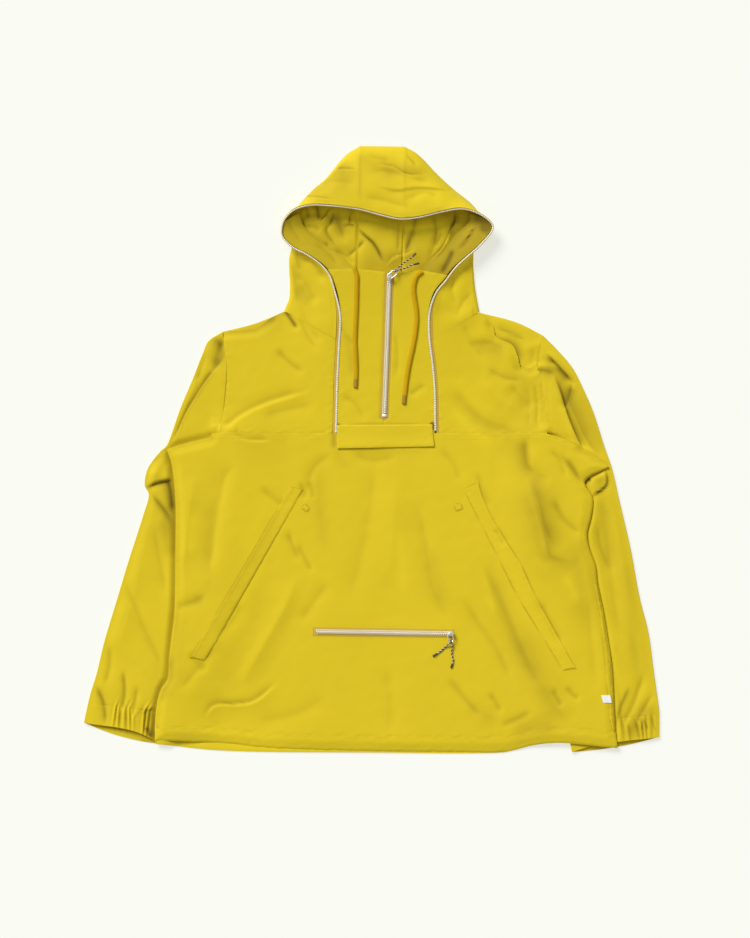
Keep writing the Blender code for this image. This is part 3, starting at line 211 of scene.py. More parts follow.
shoulderLeft = [(-218, 172), (-204, 173), (-171, 176), (-149, 191), (-128.5, 201.5)]
shoulderRight = [(154, 200), (173, 181), (178, 165), (200, 154), (208, 141), (213, 122), (227, 119), (238, 123)]
neckLeft, neckRight = (-128.5, 201.5), (154, 200)
neckEndLeft, neckEndRight = (-57.2, 161), (90.3, 161)
zipLegLeft = [(-62, 25), (-61, 73), (-60, 109), (-57, 165), (-56, 195)]
zipLegRight = [(90, 199), (90, 165), (95, 124), (98, 86), (99, 25)]

# heights of the layers

layers = {"cloth": 1.2, "edgeGap": 0.6, "edgeEase": 15.0, "air": 2.8, "lift": 6.6, "pressed": 5.0, "free": 6.3,
          "wall": 0.7, "bend": 2.5, "liftStarts": 54, "liftFull": 29, "backReach": 22, "frontReach": 80,
          "frontEase": 60, "low": 0.12}
sleeveInner = np.array([(-434, -308, 281), (-362, -291, 271), (-289, -259, 264), (-237, -239, 257),
                        (-188, -230, 250), (-159, -226, 247), (-109, -219, 244), (-80, -213, 247),
                        (-49, -205, 250), (-25, -203, 253), (-2, -204, 254), (73, -204, 242)], float)
collarRise = np.array([(25, 0), (73, 0.8), (109, 1.8), (165, 5), (195, 7.5), (220, 10), (253, 14), (262, 15)], float)
restEdges = [yokeLeft[:3], bodyLeft, [bodyLeft[-1], frontHem[0]], yokeRight[1:], bodyRight,
             [bodyRight[-1], frontHem[-1]], frontHem, shoulderLeft[:4], shoulderRight[1:7]]


def onSleeves(x, y, reach):
    # 1 over a sleeve, easing to 0 within a reach of its inner edge
    left, right = (np.interp(y, sleeveInner[:, 0], sleeveInner[:, i]) for i in (1, 2))
    return np.maximum(ease(1 - (x - left - 2) / reach), ease(1 - (right - x - 2) / reach))


def backHeight(x, y):
    # underside of the back: on the surface, and up over the sleeves at the sides
    rise = (layers["liftStarts"] - y) / (layers["liftStarts"] - layers["liftFull"])
    return layers["lift"] * onSleeves(x, y, layers["backReach"]) * ease(rise)


# folds of the front: rows for creases()
frontFolds = [
    (-3.0, 8, -3.0, 24, 4, [(-188, -33), (-197, -25), (-210, -30), (-220, -51), (-229, -101), (-236, -159),
                            (-242, -194)]),
    (-2.4, 8, -2.4, 9, 3, [(-296, -227), (-265, -221), (-239, -208)]),
    (-2.0, 5, -2.0, 6, 3, [(-125, -115), (-115, -140), (-104, -162)]),
    (-2.0, 5, -2.0, 6, 3, [(-110, -134), (-97, -159), (-86, -179)]),
    (2.6, 10, 2.6, 20, 5, [(-109, -170), (-120, -210), (-142, -253), (-167, -297), (-199, -353)]),
    (-1.5, 10, -1.5, 11, 4, [(-62, -188), (-84, -217), (-109, -252)]),
    (-2.0, 18, -2.0, 24, 5, [(4, 1), (-4, -72), (-19, -159), (-42, -237)]),
    (1.4, 16, 1.4, 22, 5, [(33, -28), (30, -101), (22, -202)]),
    (-2.4, 7, 1.2, 9, 4, [(-246, -394), (-231, -370), (-199, -368), (-170, -362), (-135, -333)]),
    (-1.8, 6, 3, [(-268, -292), (-254, -308), (-239, -321)]),
    (-1.8, 9, 3, [(-283, -352), (-257, -320), (-225, -282)]),
    (-1.6, 7, 3, [(-165, -51), (-144, -69), (-123, -83)]),
    (-1.6, 4, 2, [(-107, -46), (-100, -59), (-100, -73)]),
    (-1.6, 4, 2, [(-94, -44), (-88, -57), (-87, -72)]),
    (1.6, 8, 1.6, 22, 5, [(-257, -28), (-268, -101), (-277, -188)]),
    (-1.4, 10, 4, [(-186, -217), (-204, -249), (-231, -275)]),
    (-2.2, 12, -2.2, 20, 4, [(59, -63), (75, -130), (83, -188), (97, -224), (117, -260)]),
    (-2.4, 9, -2.4, 12, 3, [(126, -208), (155, -253), (180, -289), (204, -344)]),
    (-3.2, 10, -3.2, 18, 4, [(152, -152), (177, -202), (199, -253), (228, -318), (255, -359)]),
    (2.8, 26, 2.8, 7, 4, [(219, -37), (235, -72), (246, -115), (252, -144), (271, -156), (297, -165)]),
    (-2.8, 7, -2.8, 8, 3, [(258, -66), (278, -101), (307, -125)]),
    (-2.0, 5, 2, [(258, -344), (267, -359), (274, -373)]),
    (-2.0, 5, 2, [(278, -341), (289, -353), (300, -362)]),
    (-2.0, 7, 3, [(107, -327), (133, -359), (158, -388)]),
    (-1.8, 5, 3, [(167, -350), (178, -365), (187, -382)]),
    (-1.8, 6, 3, [(233, -376), (209, -389), (181, -401)]),
    (-2.6, 8, -2.6, 11, 3, [(236, -211), (254, -249), (276, -289)]),
    (-2.0, 4, 2, [(174, -112), (184, -124), (191, -140)]),
    (-2.4, 12, 1.0, 20, 10, [(-233, 15), (-193, 49), (-149, 70), (-86, 88)]),
    (-1.6, 12, 4, [(-164, 49), (-120, 60), (-80, 67)]),
    (-1.8, 7, 0.6, 9, 4, [(-207, 24), (-181, 15), (-146, 15)]),
    (-2.2, 5, -2.2, 8, 3, [(-142, 150), (-120, 127), (-97, 111)]),
    (-3.2, 14, -3.2, 24, 5, [(109, 96), (141, 59), (170, 37), (222, 24)]),
    (1.8, 16, 1.8, 14, 5, [(152, 108), (184, 73), (219, 56)]),
    (-2.2, 7, -2.2, 8, 3, [(135, 152), (170, 156), (196, 141)]),
    (-2.0, 6, -2.0, 8, 3, [(164, 120), (191, 105), (219, 101)]),
    (-2.2, 10, -2.2, 12, 4, [(196, 98), (213, 79), (231, 56)]),
    (-3.0, 7, -3.0, 22, 4, [(222, 24), (225, -17), (239, -34), (261, -44)]),
    (-0.5, 3.4, 2, [(223, 102), (226, 73), (225, 30)]),
    (-1.3, 3.4, 2, [(233, 105), (238, 66), (236, 27)]),
    (-0.5, 3.4, 2, [(244, 108), (246, 73), (248, 30)]),
    (-2.2, 4, 2, [(268, -2), (289, -28), (306, -53)]),
    (-2.0, 4, 2, [(280, -11), (291, -28), (300, -43)]),
    (-1.6, 5, 3, [(254, 4), (271, -17), (280, -43)]),
    (-1.5, 8, 4, [(-57, -2), (-88, -28), (-97, -72)]),
    (-1.6, 9, 4, [(-33, -2), (-1, -14), (39, -8)]),
    (-1.4, 9, 4, [(94, 4), (115, -17), (129, -49)]),
    (-1.2, 6, 4, [(149, -28), (161, -60), (170, -86)]),
    (-1.4, 14, 4, [(-62, -347), (-106, -379), (-178, -394)]),
    (-1.3, 18, 4, [(16, -304), (25, -362), (22, -417)]),
    (-1.4, 14, 4, [(312, -202), (315, -275), (323, -347)]),
    (-3.0, 4, -3.0, 5, 2, [(-132, 207), (-120, 192), (-107, 173)]),
    (-2.0, 8, -2.0, 9, 4, [(-104, 214), (-94, 182), (-72, 153)]),
    (-1.6, 5, 3, [(-107, 195), (-93, 163), (-77, 143)]),
    (-1.4, 10, 4, [(129, 192), (141, 160), (164, 128)]),
    (-1.6, 7, 4, [(-51, 186), (-39, 166), (-22, 150)]),
    (-1.7, 7, 4, [(-48, 82), (-25, 66), (-10, 41)]),
    (-1.6, 6, 4, [(51, 79), (65, 88), (77, 96)]),
    (-1.4, 6, 3, [(30, 175), (36, 143), (33, 102)]),
    (-2.2, 4, -2.2, 5, 2, [(-213, 170), (-193, 175), (-173, 173)]),
]
# painted shade where cloth lies deep: the same rows, with shares of darkness for heights
frontPaintedShade = [
    (0.2, 8, 0.2, 20, 4, [(-229, -54), (-236, -115), (-245, -181)]),
    (0.6, 12, 0.35, 30, 3, [(219, -28), (249, -130), (257, -156), (300, -167)]),
    (0.55, 22, 0.15, 8, 4, [(223, -34), (238, -72), (249, -115), (265, -147)]),
    (0.2, 8, 0.2, 20, 4, [(115, 85), (141, 59), (170, 37), (222, 24)]),
    (0.6, 3, 0.6, 14, 3, [(219, 21), (222, -17), (236, -34)]),
    (1.0, 2.6, 2, [(-130, 205), (-120, 192), (-109, 175)]),
    (0.4, 12, 3, [(146, 152), (178, 147), (196, 140)]),
    (0.22, 22, 4, [(202, 146), (219, 88), (225, 30), (219, 1)]),
    (0.3, 14, 4, [(161, -153), (184, -217), (213, -282), (248, -347)]),
    (0.3, 24, 0.3, 30, 4, [(207, -246), (236, -318), (251, -376)]),
    (0.35, 16, 4, [(190, -408), (228, -402), (274, -397)]),
    (0.4, 5, 2, [(277, -11), (290, -28), (303, -49)]),
    (0.6, 5, 2, [(175, -115), (184, -124), (190, -137)]),
    (0.4, 6, 3, [(239, -217), (254, -249), (271, -282)]),
    (0.15, 5, 2, [(-48, -1), (17, -2), (86, 1)]),
    (0.7, 4, 2, [(-57, 36), (-57, 18), (-57, 1)]),
    (0.15, 9, 3, [(-291, -228), (-265, -224), (-239, -214)]),
    (0.25, 8, 3, [(-283, -217), (-283, -275), (-291, -321)]),
    (0.28, 22, 4, [(289, -107), (297, -173), (306, -275)]),
    (0.3, 14, 4, [(242, -333), (260, -369), (286, -394)]),
    (0.25, 12, 4, [(135, -362), (155, -379), (184, -394)]),
    (3.0, 3.0, 1, [(-52, 41), (-52, 33), (-52, 27)]),
    (3.0, 3.0, 1, [(86, 43), (86, 34), (86, 27)]),
    (0.5, 2.0, 2, [(-48, 38), (17, 38), (83, 38)]),
    (0.35, 10, 0.35, 14, 3, [(-300, -289), (-291, -327), (-312, -369)]),
    (0.12, 10, 3, [(-245, -397), (-228, -373), (-178, -368)]),
    (0.8, 14, 4, [(-219, 186), (-175, 188), (-126, 199)]),
    (0.22, 12, 4, [(83, -130), (91, -188), (112, -243)]),
    (0.25, 8, 4, [(-42, 175), (-33, 143), (-30, 102)]),
    (0.2, 10, 4, [(-74, -7), (-80, -57), (-68, -159)]),
]
# painted highlights where the panel and yokes face the light, and a few faint painted shades
frontPaintedLight = [        # tones of the panel and yokes alone: paler where they face the light, and a few faint shades
    (-0.18, 16, 4, [(-152, -101), (-193, -202), (-242, -289)]),
    (-0.2, 12, 4, [(-257, -79), (-262, -115), (-265, -159)]),
    (-0.16, 30, 4, [(-161, -7), (-161, -72), (-193, -159)]),
    (-0.2, 10, 4, [(106, 73), (141, 33), (184, 1)]),
    (-0.15, 10, 4, [(39, -101), (42, -159), (45, -217)]),
    (-0.25, 8, 4, [(155, -159), (167, -202), (178, -246)]),
    (-0.2, 8, 4, [(274, -173), (289, -202), (297, -225)]),
    (-0.15, 24, 4, [(-294, -391), (-222, -413), (-106, -420)]),
    (-0.16, 12, 4, [(-141, -115), (-181, -195), (-231, -289)]),
    (-0.16, 10, 4, [(222, -72), (245, -79), (254, -115)]),
    (-0.16, 9, 4, [(228, -153), (249, -165), (280, -162)]),
    (-0.16, 6, 4, [(329, -101), (338, -217), (345, -391)]),
    (-0.14, 8, 4, [(206, -253), (219, -282), (233, -315)]),
    (-0.12, 12, 4, [(115, 160), (155, 170), (213, 175)]),
    (-0.12, 14, 4, [(119, 114), (141, 73), (184, 56)]),
    (0.14, 10, 4, [(236, -2), (233, -36), (251, -57)]),
    (0.12, 10, 4, [(184, 22), (206, 21), (225, 24)]),
    (0.14, 8, 4, [(-54, 15), (-48, -14), (-30, -22)]),
    (0.12, 10, 4, [(-294, -43), (-291, -130), (-297, -210)]),
    (0.12, 8, 4, [(-233, -159), (-242, -202), (-265, -234)]),
    (0.12, 6, 4, [(-193, 182), (-161, 195), (-132, 201)]),
    (0.1, 10, 4, [(199, -384), (228, -394), (271, -362)]),
]


def overSleeves(x, y):
    # the front bridges from the back up over the sleeves in one long slope
    rise = (layers["liftStarts"] + 20 - y) / layers["frontEase"]
    return layers["lift"] * onSleeves(x, y, layers["frontReach"]) * ease(rise)


def frontHeight(x, y):
    # top of the front: over the back, sinking to it along the free edges
    x, y = np.asarray(x, float), np.asarray(y, float)
    edge = np.min([abs(fromLine(x, y, line)[0]) for line in restEdges], axis=0)
    free = ease(edge / layers["edgeEase"])
    rise = np.interp(y, collarRise[:, 0], collarRise[:, 1]) * ease(2 - abs(x - 17) / 75)
    relief = layers["air"] + creases(x, y, frontFolds) + 0.4 * waves(x, y, "front")
    relief = 0.5 * (relief + np.sqrt(relief ** 2 + 1)) + 0.06 * waves(x, y, "frontFine")
    under = np.maximum(backHeight(x, y), overSleeves(x, y)) + 2 * layers["cloth"] + layers["edgeGap"]
    return under + (layers["low"] + 0.88 * free) * relief - layers["low"] * layers["air"] + rise * ease(edge / 40)


# materials

def feed(tree, node, inputs):
    # links each input to a socket, or gives it a value
    for name, value in inputs.items():
        if isinstance(value, bpy.types.NodeSocket):
            tree.links.new(value, node.inputs[name])
        else:
            node.inputs[name].default_value = value


def addNode(tree, kind, inputs=None, **settings):
    node = tree.nodes.new(kind)
    for name, value in settings.items():
        setattr(node, name, value)
    feed(tree, node, inputs or {})
    return node


def newGroup(name, inputs, outputs):
    group = bpy.data.node_groups.new(name, "ShaderNodeTree")
    for label, kind, value in inputs:
        made = group.interface.new_socket(name=label, in_out="INPUT", socket_type="NodeSocket" + kind)
        if value is not None:
            made.default_value = value
    for label, kind in outputs:
        group.interface.new_socket(name=label, in_out="OUTPUT", socket_type="NodeSocket" + kind)
    return group, addNode(group, "NodeGroupInput").outputs, addNode(group, "NodeGroupOutput")


def mathNode(tree, operation, *values):
    return addNode(tree, "ShaderNodeMath", dict(enumerate(values)), operation=operation).outputs[0]


def vectorNode(tree, operation, inputs):
    return addNode(tree, "ShaderNodeVectorMath", inputs, operation=operation).outputs[0]


def buildWeave():
    # plain weave: warp and weft bumps that cross, and threads of uneven thickness
    group, start, end = newGroup("weave", [("Vector", "Vector", None), ("Threads", "Float", 2000.0),
                                           ("Slub", "Float", 0.3)], [("Height", "Float"), ("Tone", "Float")])
    scaled = vectorNode(group, "SCALE", {0: start["Vector"], "Scale": start["Threads"]})
    parts = addNode(group, "ShaderNodeSeparateXYZ", {0: scaled}).outputs
    warp, weft = (mathNode(group, "SINE", mathNode(group, "MULTIPLY", parts[axis], math.pi)) for axis in "XY")
    lifted = mathNode(group, "ABSOLUTE", mathNode(group, "MULTIPLY", warp, weft))
    stretched = vectorNode(group, "MULTIPLY", {0: scaled, 1: (0.9, 0.03, 1.0)})
    noise = addNode(group, "ShaderNodeTexNoise", {"Vector": stretched, "Scale": 1.0, "Detail": 1.0},
                    noise_dimensions="2D")
    uneven = mathNode(group, "MULTIPLY", noise.outputs["Fac"], start["Slub"])
    feed(group, end, {"Height": mathNode(group, "ADD", lifted, uneven), "Tone": uneven})
    return group


def buildMottleAndShade():
    # slow uneven tone over a piece, and painted shade that darkens it where an attribute says the cloth lies in shade
    group, start, end = newGroup("mottleAndShade", [("Color", "Color", (0.5, 0.5, 0.5, 1)), ("Vector", "Vector", None),
                                            ("Scale", "Float", 9.0), ("Amount", "Float", 0.05),
                                            ("Hollow", "Float", 0.0), ("Depth", "Float", 0.5),
                                            ("Thread", "Float", 0.0)], [("Color", "Color")])
    noise = addNode(group, "ShaderNodeTexNoise", {"Vector": start["Vector"], "Scale": start["Scale"], "Detail": 3.0})
    drift = mathNode(group, "MULTIPLY", mathNode(group, "SUBTRACT", noise.outputs["Fac"], 0.5), start["Amount"])
    # painted shade: the attribute's share of darkness times its depth
    shade = mathNode(group, "MULTIPLY", start["Hollow"], start["Depth"])
    threads = mathNode(group, "MULTIPLY", start["Thread"], 0.06)
    kept = mathNode(group, "SUBTRACT", mathNode(group, "ADD", 1.0, drift), mathNode(group, "ADD", shade, threads))
    kept = mathNode(group, "MAXIMUM", kept, 0.3)
    scaled = vectorNode(group, "SCALE", {0: start["Color"], "Scale": kept})
    # painted shade turns the colour browner, not greyer
    green = mathNode(group, "SUBTRACT", 1.0, mathNode(group, "MULTIPLY", shade, 0.1))
    shadeTint = addNode(group, "ShaderNodeCombineXYZ", {"X": 1.0, "Y": green, "Z": 1.0})    # browner, not greyer
    feed(group, end, {"Color": vectorNode(group, "MULTIPLY", {0: scaled, 1: shadeTint.outputs[0]})})
    return group


weaveGroup, mottleShadeGroup = buildWeave(), buildMottleAndShade()


def newPaint(name, settings):
    made = bpy.data.materials.new(name)
    made.use_nodes = True
    shader = made.node_tree.nodes["Principled BSDF"]
    feed(made.node_tree, shader, settings)
    return made, made.node_tree, shader


def mottledAndShaded(tree, shader, colour, settings):
    # base colour through the group of mottle and painted shade, in the object's own coordinates
    place = addNode(tree, "ShaderNodeTexCoord").outputs["Object"]
    mottleAndShade = addNode(tree, "ShaderNodeGroup", node_tree=mottleShadeGroup)
    feed(tree, mottleAndShade, {"Color": (*colour, 1), "Vector": place, **settings})
    feed(tree, shader, {"Base Color": mottleAndShade.outputs["Color"]})
    return place


def bumped(tree, shader, height, strength, distance):
    bump = addNode(tree, "ShaderNodeBump", {"Height": height, "Strength": strength, "Distance": distance})
    feed(tree, shader, {"Normal": bump.outputs["Normal"]})


def wovenCloth(name, colour, threads, roughness, sheen, depth=0.5, relief=0.00012, uneven=0.05):
    made, tree, shader = newPaint(name, {"Roughness": roughness, "Sheen Weight": sheen, "Sheen Roughness": 0.4,
                                         "Specular IOR Level": 0.2})
    chart = addNode(tree, "ShaderNodeUVMap", uv_map="cut").outputs["UV"]
    weave = addNode(tree, "ShaderNodeGroup", node_tree=weaveGroup)
    feed(tree, weave, {"Vector": chart, "Threads": threads})
    # painted shade from each point's attribute, as deep as depth, darkens the base colour
    paintedShade = addNode(tree, "ShaderNodeAttribute", attribute_name="paintedShade").outputs["Fac"]
    mottledAndShaded(tree, shader, colour, {"Amount": uneven, "Depth": depth, "Hollow": paintedShade,
                                   "Thread": weave.outputs["Tone"]})
    bumped(tree, shader, weave.outputs["Height"], 0.35, relief)
    return made


def plainFinish(name, colour, roughness, metallic=0.0, grain=0.0, scale=300.0, uneven=0.04):
    made, tree, shader = newPaint(name, {"Metallic": metallic})
    place = mottledAndShaded(tree, shader, colour, {"Scale": scale, "Amount": uneven})
    noise = addNode(tree, "ShaderNodeTexNoise", {"Scale": 4 * scale, "Vector": place}).outputs["Fac"]
    spread = mathNode(tree, "ADD", mathNode(tree, "MULTIPLY", noise, 0.2), roughness - 0.1)
    feed(tree, shader, {"Roughness": spread})
    if grain:
        bumped(tree, shader, noise, grain, 0.0002)
    return made


def braidedCord(name, colour, strands, pitch):
    # braid: two crossing sets of slanted strands, from the cord's own chart (round it, along it)
    made, tree, shader = newPaint(name, {"Roughness": 0.75, "Specular IOR Level": 0.12, "Sheen Weight": 0.0})
    chart = addNode(tree, "ShaderNodeUVMap", uv_map="cut").outputs["UV"]
    parts = addNode(tree, "ShaderNodeSeparateXYZ", {0: chart}).outputs
    around = mathNode(tree, "MULTIPLY", parts["X"], 2 * math.pi * strands)
    run = mathNode(tree, "MULTIPLY", parts["Y"], 2 * math.pi / pitch)
    one, two = (mathNode(tree, "SINE", mathNode(tree, way, around, run)) for way in ("ADD", "SUBTRACT"))
    height = mathNode(tree, "MAXIMUM", one, two)
    # painted shade in the grooves between strands
    mottledAndShaded(tree, shader, colour, {"Scale": 400.0, "Amount": 0.25, "Depth": 0.16,
                                   "Hollow": mathNode(tree, "SUBTRACT", 1.0, height)})
    bumped(tree, shader, height, 0.6, 0.0003)
    return made


shellCloth = wovenCloth("shellCloth", (0.715, 0.54, 0.012), threads=2200.0, roughness=0.72, sheen=0.05)
zipTape = wovenCloth("zipTape", (0.57, 0.385, 0.05), threads=1500.0, roughness=0.8, sheen=0.02, depth=0.4,
                     relief=0.00025, uneven=0.1)
labelWeave = wovenCloth("labelWeave", (0.86, 0.86, 0.83), threads=2600.0, roughness=0.75, sheen=0.1, depth=0.4,
                        relief=0.0001, uneven=0.04)
zipMetal = plainFinish("zipMetal", (0.95, 0.92, 0.76), roughness=0.4, metallic=0.2, grain=0.05, scale=500.0,
                       uneven=0.08)
sliderMetal = plainFinish("sliderMetal", (0.92, 0.91, 0.86), roughness=0.26, metallic=0.75, grain=0.03, scale=250.0,
                          uneven=0.05)
drawcordBraid = braidedCord("drawcordBraid", (0.64, 0.385, 0.002), strands=4, pitch=0.0042)
thread, tipWrap, darkYarn, paleYarn, tipDark = (
    plainFinish(name, colour, roughness, grain=grain, scale=scale, uneven=uneven)
    for name, colour, roughness, grain, scale, uneven in (
        ("thread", (0.60, 0.43, 0.008), 0.7, 0.2, 700.0, 0.2), ("tipWrap", (0.36, 0.21, 0.008), 0.7, 0.1, 500.0, 0.2),
        ("darkYarn", (0.035, 0.025, 0.018), 0.75, 0.4, 900.0, 0.3),
        ("paleYarn", (0.72, 0.68, 0.58), 0.75, 0.4, 900.0, 0.2),
        ("tipDark", (0.06, 0.035, 0.015), 0.45, 0.2, 600.0, 0.2)))
print("materials made")


# pieces from grids

def deselect():
    bpy.ops.object.select_all(action="DESELECT")


def added(name, primitive, **sizes):
    deselect()
    getattr(bpy.ops.mesh, "primitive_" + primitive + "_add")(**sizes)
    piece = bpy.context.object
    piece.name = piece.data.name = name
    return piece


def pick(*pieces):
    deselect()
    for piece in pieces:
        piece.select_set(True)
    bpy.context.view_layer.objects.active = pieces[0]


def gridObject(name, points):
    # a mesh grid with its vertices moved to rows of points
    rows, columns = points.shape[:2]
    piece = added(name, "grid", x_subdivisions=columns - 1, y_subdivisions=rows - 1, size=2)
    piece.data.vertices.foreach_set("co", (points.reshape(-1, 3) * mm).astype(np.float32).ravel())
    return piece


def setChart(piece, chart, paintedShade=None):
    # the cut's own coordinates in metres for each corner, and how much painted shade each point takes
    mesh = piece.data
    while mesh.uv_layers:
        mesh.uv_layers.remove(mesh.uv_layers[0])
    layer = mesh.uv_layers.new(name="cut")
    corner = np.zeros(len(mesh.loops), int)
    mesh.loops.foreach_get("vertex_index", corner)
    layer.data.foreach_set("uv", (chart.reshape(-1, 2)[corner] * mm).astype(np.float32).ravel())
    shade = mesh.attributes.new("paintedShade", "FLOAT", "POINT")
    values = np.zeros(len(mesh.vertices)) if paintedShade is None else paintedShade.ravel()
    shade.data.foreach_set("value", values.astype(np.float32))


def blur(field, steps):
    # repeated averaging with the four neighbours
    out = field.copy()
    for _ in range(steps):
        padded = np.pad(out, 1, mode="edge")
        out = 0.5 * out + 0.125 * (padded[:-2, 1:-1] + padded[2:, 1:-1] + padded[1:-1, :-2] + padded[1:-1, 2:])
    return out


def cavityShade(z, steps, depth):
    # painted shade in hollows: how far each point lies below its blurred surroundings, in shares of a depth
    return np.clip((blur(z, steps) - z) / depth, 0, 1)


def stepsAlong(grid, axis):
    # arc length from the first row or column of a grid of points
    steps = np.cumsum(np.linalg.norm(np.diff(grid, axis=axis), axis=2), axis=axis)
    return np.concatenate([np.zeros_like(steps.take([0], axis=axis)), steps], axis=axis)


def chartOf(points):
    # arc lengths along the two ways of a grid of points
    return np.dstack([stepsAlong(points, 1), stepsAlong(points, 0)])


def finishPiece(piece, paint, wall, smoothAngle=50):
    pick(piece)
    if wall:
        thicken = piece.modifiers.new("wall", "SOLIDIFY")
        thicken.thickness = wall * mm
        thicken.offset = -1.0
        thicken.use_even_offset = False
        bpy.ops.object.modifier_apply(modifier=thicken.name)
    piece.data.materials.clear()
    piece.data.materials.append(paint)
    bpy.ops.object.shade_smooth_by_angle(angle=math.radians(smoothAngle))
    return piece


def facing(points, i, j):
    # the way a grid faces at one of its points
    return np.cross(points[i, j + 1] - points[i, j], points[i + 1, j] - points[i, j])


def mend(weld=None, fill=False):
    # welds double points, closes open ends and turns the faces outwards
    bpy.ops.object.mode_set(mode="EDIT")
    bpy.ops.mesh.select_all(action="SELECT")
    if weld:
        bpy.ops.mesh.remove_doubles(threshold=weld)
    if fill:
        bpy.ops.mesh.select_all(action="DESELECT")
        bpy.ops.mesh.select_non_manifold()
        bpy.ops.mesh.fill_holes(sides=0)
        bpy.ops.mesh.select_all(action="SELECT")
    bpy.ops.mesh.normals_make_consistent(inside=False)
    bpy.ops.object.mode_set(mode="OBJECT")


def fromPoints(name, points, paint=None, wall=0.7, paintedShade=None, chart=None, closed=False):
    # cloth from a grid of outer points; closed joins its last column to its first
    piece = gridObject(name, points)
    setChart(piece, chartOf(points) if chart is None else chart, paintedShade)
    piece.data.update()
    if closed:
        mend(weld=0.00002)
    return finishPiece(piece, paint or shellCloth, wall)


def denser(length, pitch, edges=(0.5, 1.2, 2.4)):
    # shares of a length: close together near both ends, evenly spaced between them
    count = max(2, int(round((length - 2 * edges[-1]) / pitch)))
    middle = np.linspace(edges[-1], length - edges[-1], count + 1)
    first = np.array([0.0, *edges[:-1]])
    return np.concatenate([first, middle, length - first[::-1]]) / length


def coons(bottom, right, top, left, across, along):
    # grid of plan points between four seam lines that meet at the corners
    b, t = sample(bottom, across), sample(top, across)
    l, r = sample(left, along), sample(right, along)
    u, v = across[None, :, None], along[:, None, None]
    grid = (1 - v) * b[None] + v * t[None] + (1 - u) * l[:, None] + u * r[:, None]
    return grid - ((1 - u) * (1 - v) * b[0] + u * (1 - v) * b[-1] + (1 - u) * v * t[0] + u * v * t[-1])


def edgeDistance(grid):
    # how far each point lies from the four sides of its grid, along the grid's lines
    across, along = (stepsAlong(grid[..., :2], axis) for axis in (1, 0))
    return along, across[:, -1:] - across, along[-1:] - along, across


panels = {"roll": 1.3, "drawn": 9}      # how far in from a seam the cloth rolls down and puckers


def quad(a, b, c, d):
    # sides of a small four-cornered piece
    return [a, b], [b, c], [d, c], [a, d]


def panel(name, sides, pitch, top, dips, paint=None, wall=0.7, puckers=0.0, cavityShading=(30, 3.0), dark=()):
    # flat-lying piece: four seam lines (bottom, right, top, left), a height, and how far each side rolls down; painted
    # shade in its hollows and along given rows, painted highlights where a row is negative
    bottom, right, upper, left = (np.array(side, float) for side in sides)
    across = denser(max(lengthOf(bottom), lengthOf(upper)), pitch)
    along = denser(max(lengthOf(left), lengthOf(right)), pitch)
    plan = coons(bottom, right, upper, left, across, along)
    z = top(plan[..., 0], plan[..., 1])
    paintedShade = cavityShade(z, *cavityShading) + creases(plan[..., 0], plan[..., 1], dark)
    for away, dip in zip(edgeDistance(plan), dips):
        z = z - dip * np.exp(-(away / panels["roll"]) ** 2)
        if puckers:
            wave = waves(plan[..., 0], plan[..., 1], "pucker")
            z = z + puckers * wave * np.exp(-(away / panels["drawn"]) ** 2) * (dip > 0)
    return fromPoints(name, np.dstack([plan, z]), paint, wall, paintedShade, plan)


surfaces = {}


def topOf(*pieces):
    # height of the highest of some pieces at plan points, in millimetres; nan where there is none
    trees = []
    for piece in pieces:
        if piece.name not in surfaces:
            corners = [v.co / mm for v in piece.data.vertices]
            surfaces[piece.name] = BVHTree.FromPolygons(corners, [tuple(p.vertices) for p in piece.data.polygons])
        trees.append(surfaces[piece.name])

    def at(x, y):
        best = np.full(np.shape(x), np.nan).ravel()
        for k, (px, py) in enumerate(zip(np.ravel(x), np.ravel(y))):
            hits = [tree.ray_cast(Vector((px, py, 200)), Vector((0, 0, -1)))[0] for tree in trees]
            heights = [hit.z for hit in hits if hit]
            if heights:
                best[k] = max(heights)
        return best.reshape(np.shape(x))
    return at


def resting(pieces, gap, reach=2.0):
    # height just above what lies under and around each place, soft where it ends
    top = topOf(*pieces)

    def height(x, y):
        x, y = np.asarray(x, float), np.asarray(y, float)
        best = np.full(x.shape, -1.0)
        for dx, dy in ((0, 0), (reach, 0), (-reach, 0), (0, reach), (0, -reach)):
            best = np.fmax(best, top(x + dx, y + dy))
        return best + gap
    return height


def clothPiece(piece, node):
    onBody(piece, node)


# tubes, loops and cords

def framesOf(path, closed=False):
    # two directions square to a path at each of its points, turned as little as possible
    run = unit(np.roll(path, -1, axis=0) - np.roll(path, 1, axis=0) if closed else np.gradient(path, axis=0))
    start = np.cross(run[0], (0, 0, 1.0)) if abs(run[0][2]) < 0.9 else np.cross(run[0], (1.0, 0, 0))
    sides = [start / np.linalg.norm(start)]
    for step in run[1:]:
        side = sides[-1] - np.dot(sides[-1], step) * step
        sides.append(side / np.linalg.norm(side))
    sides = np.array(sides)
    ups = np.cross(run, sides)
    if closed:
        last = sides[-1] - np.dot(sides[-1], run[0]) * run[0]
        miss = math.atan2(np.dot(last, ups[0]), np.dot(last, sides[0]))
        turn = -miss * np.linspace(0, 1, len(path))[:, None]
        sides, ups = sides * np.cos(turn) + ups * np.sin(turn), ups * np.cos(turn) - sides * np.sin(turn)
    return sides, ups


def tubeGrid(path, radius, around, flat=1.0):
    side, up = framesOf(path)
    turn = np.linspace(0, 2 * math.pi, around + 1)[None, :, None]
    radius = np.broadcast_to(np.asarray(radius, float), (len(path),))[:, None, None]
    return path[:, None] + radius * (np.cos(turn) * side[:, None] + flat * np.sin(turn) * up[:, None])


def tubePiece(name, path, radius, paint, around=16, flat=1.0):
    # closed tube along a path; its chart runs once round it, and along it in metres
    path = np.array(path, float)
    points = tubeGrid(path, radius, around, flat)
    chart = np.dstack(np.meshgrid(np.linspace(0, 1, around + 1) / mm, runOf(path)))
    piece = gridObject(name, points)
    setChart(piece, chart)
    mend(weld=0.00001, fill=True)
    return finishPiece(piece, paint, 0)


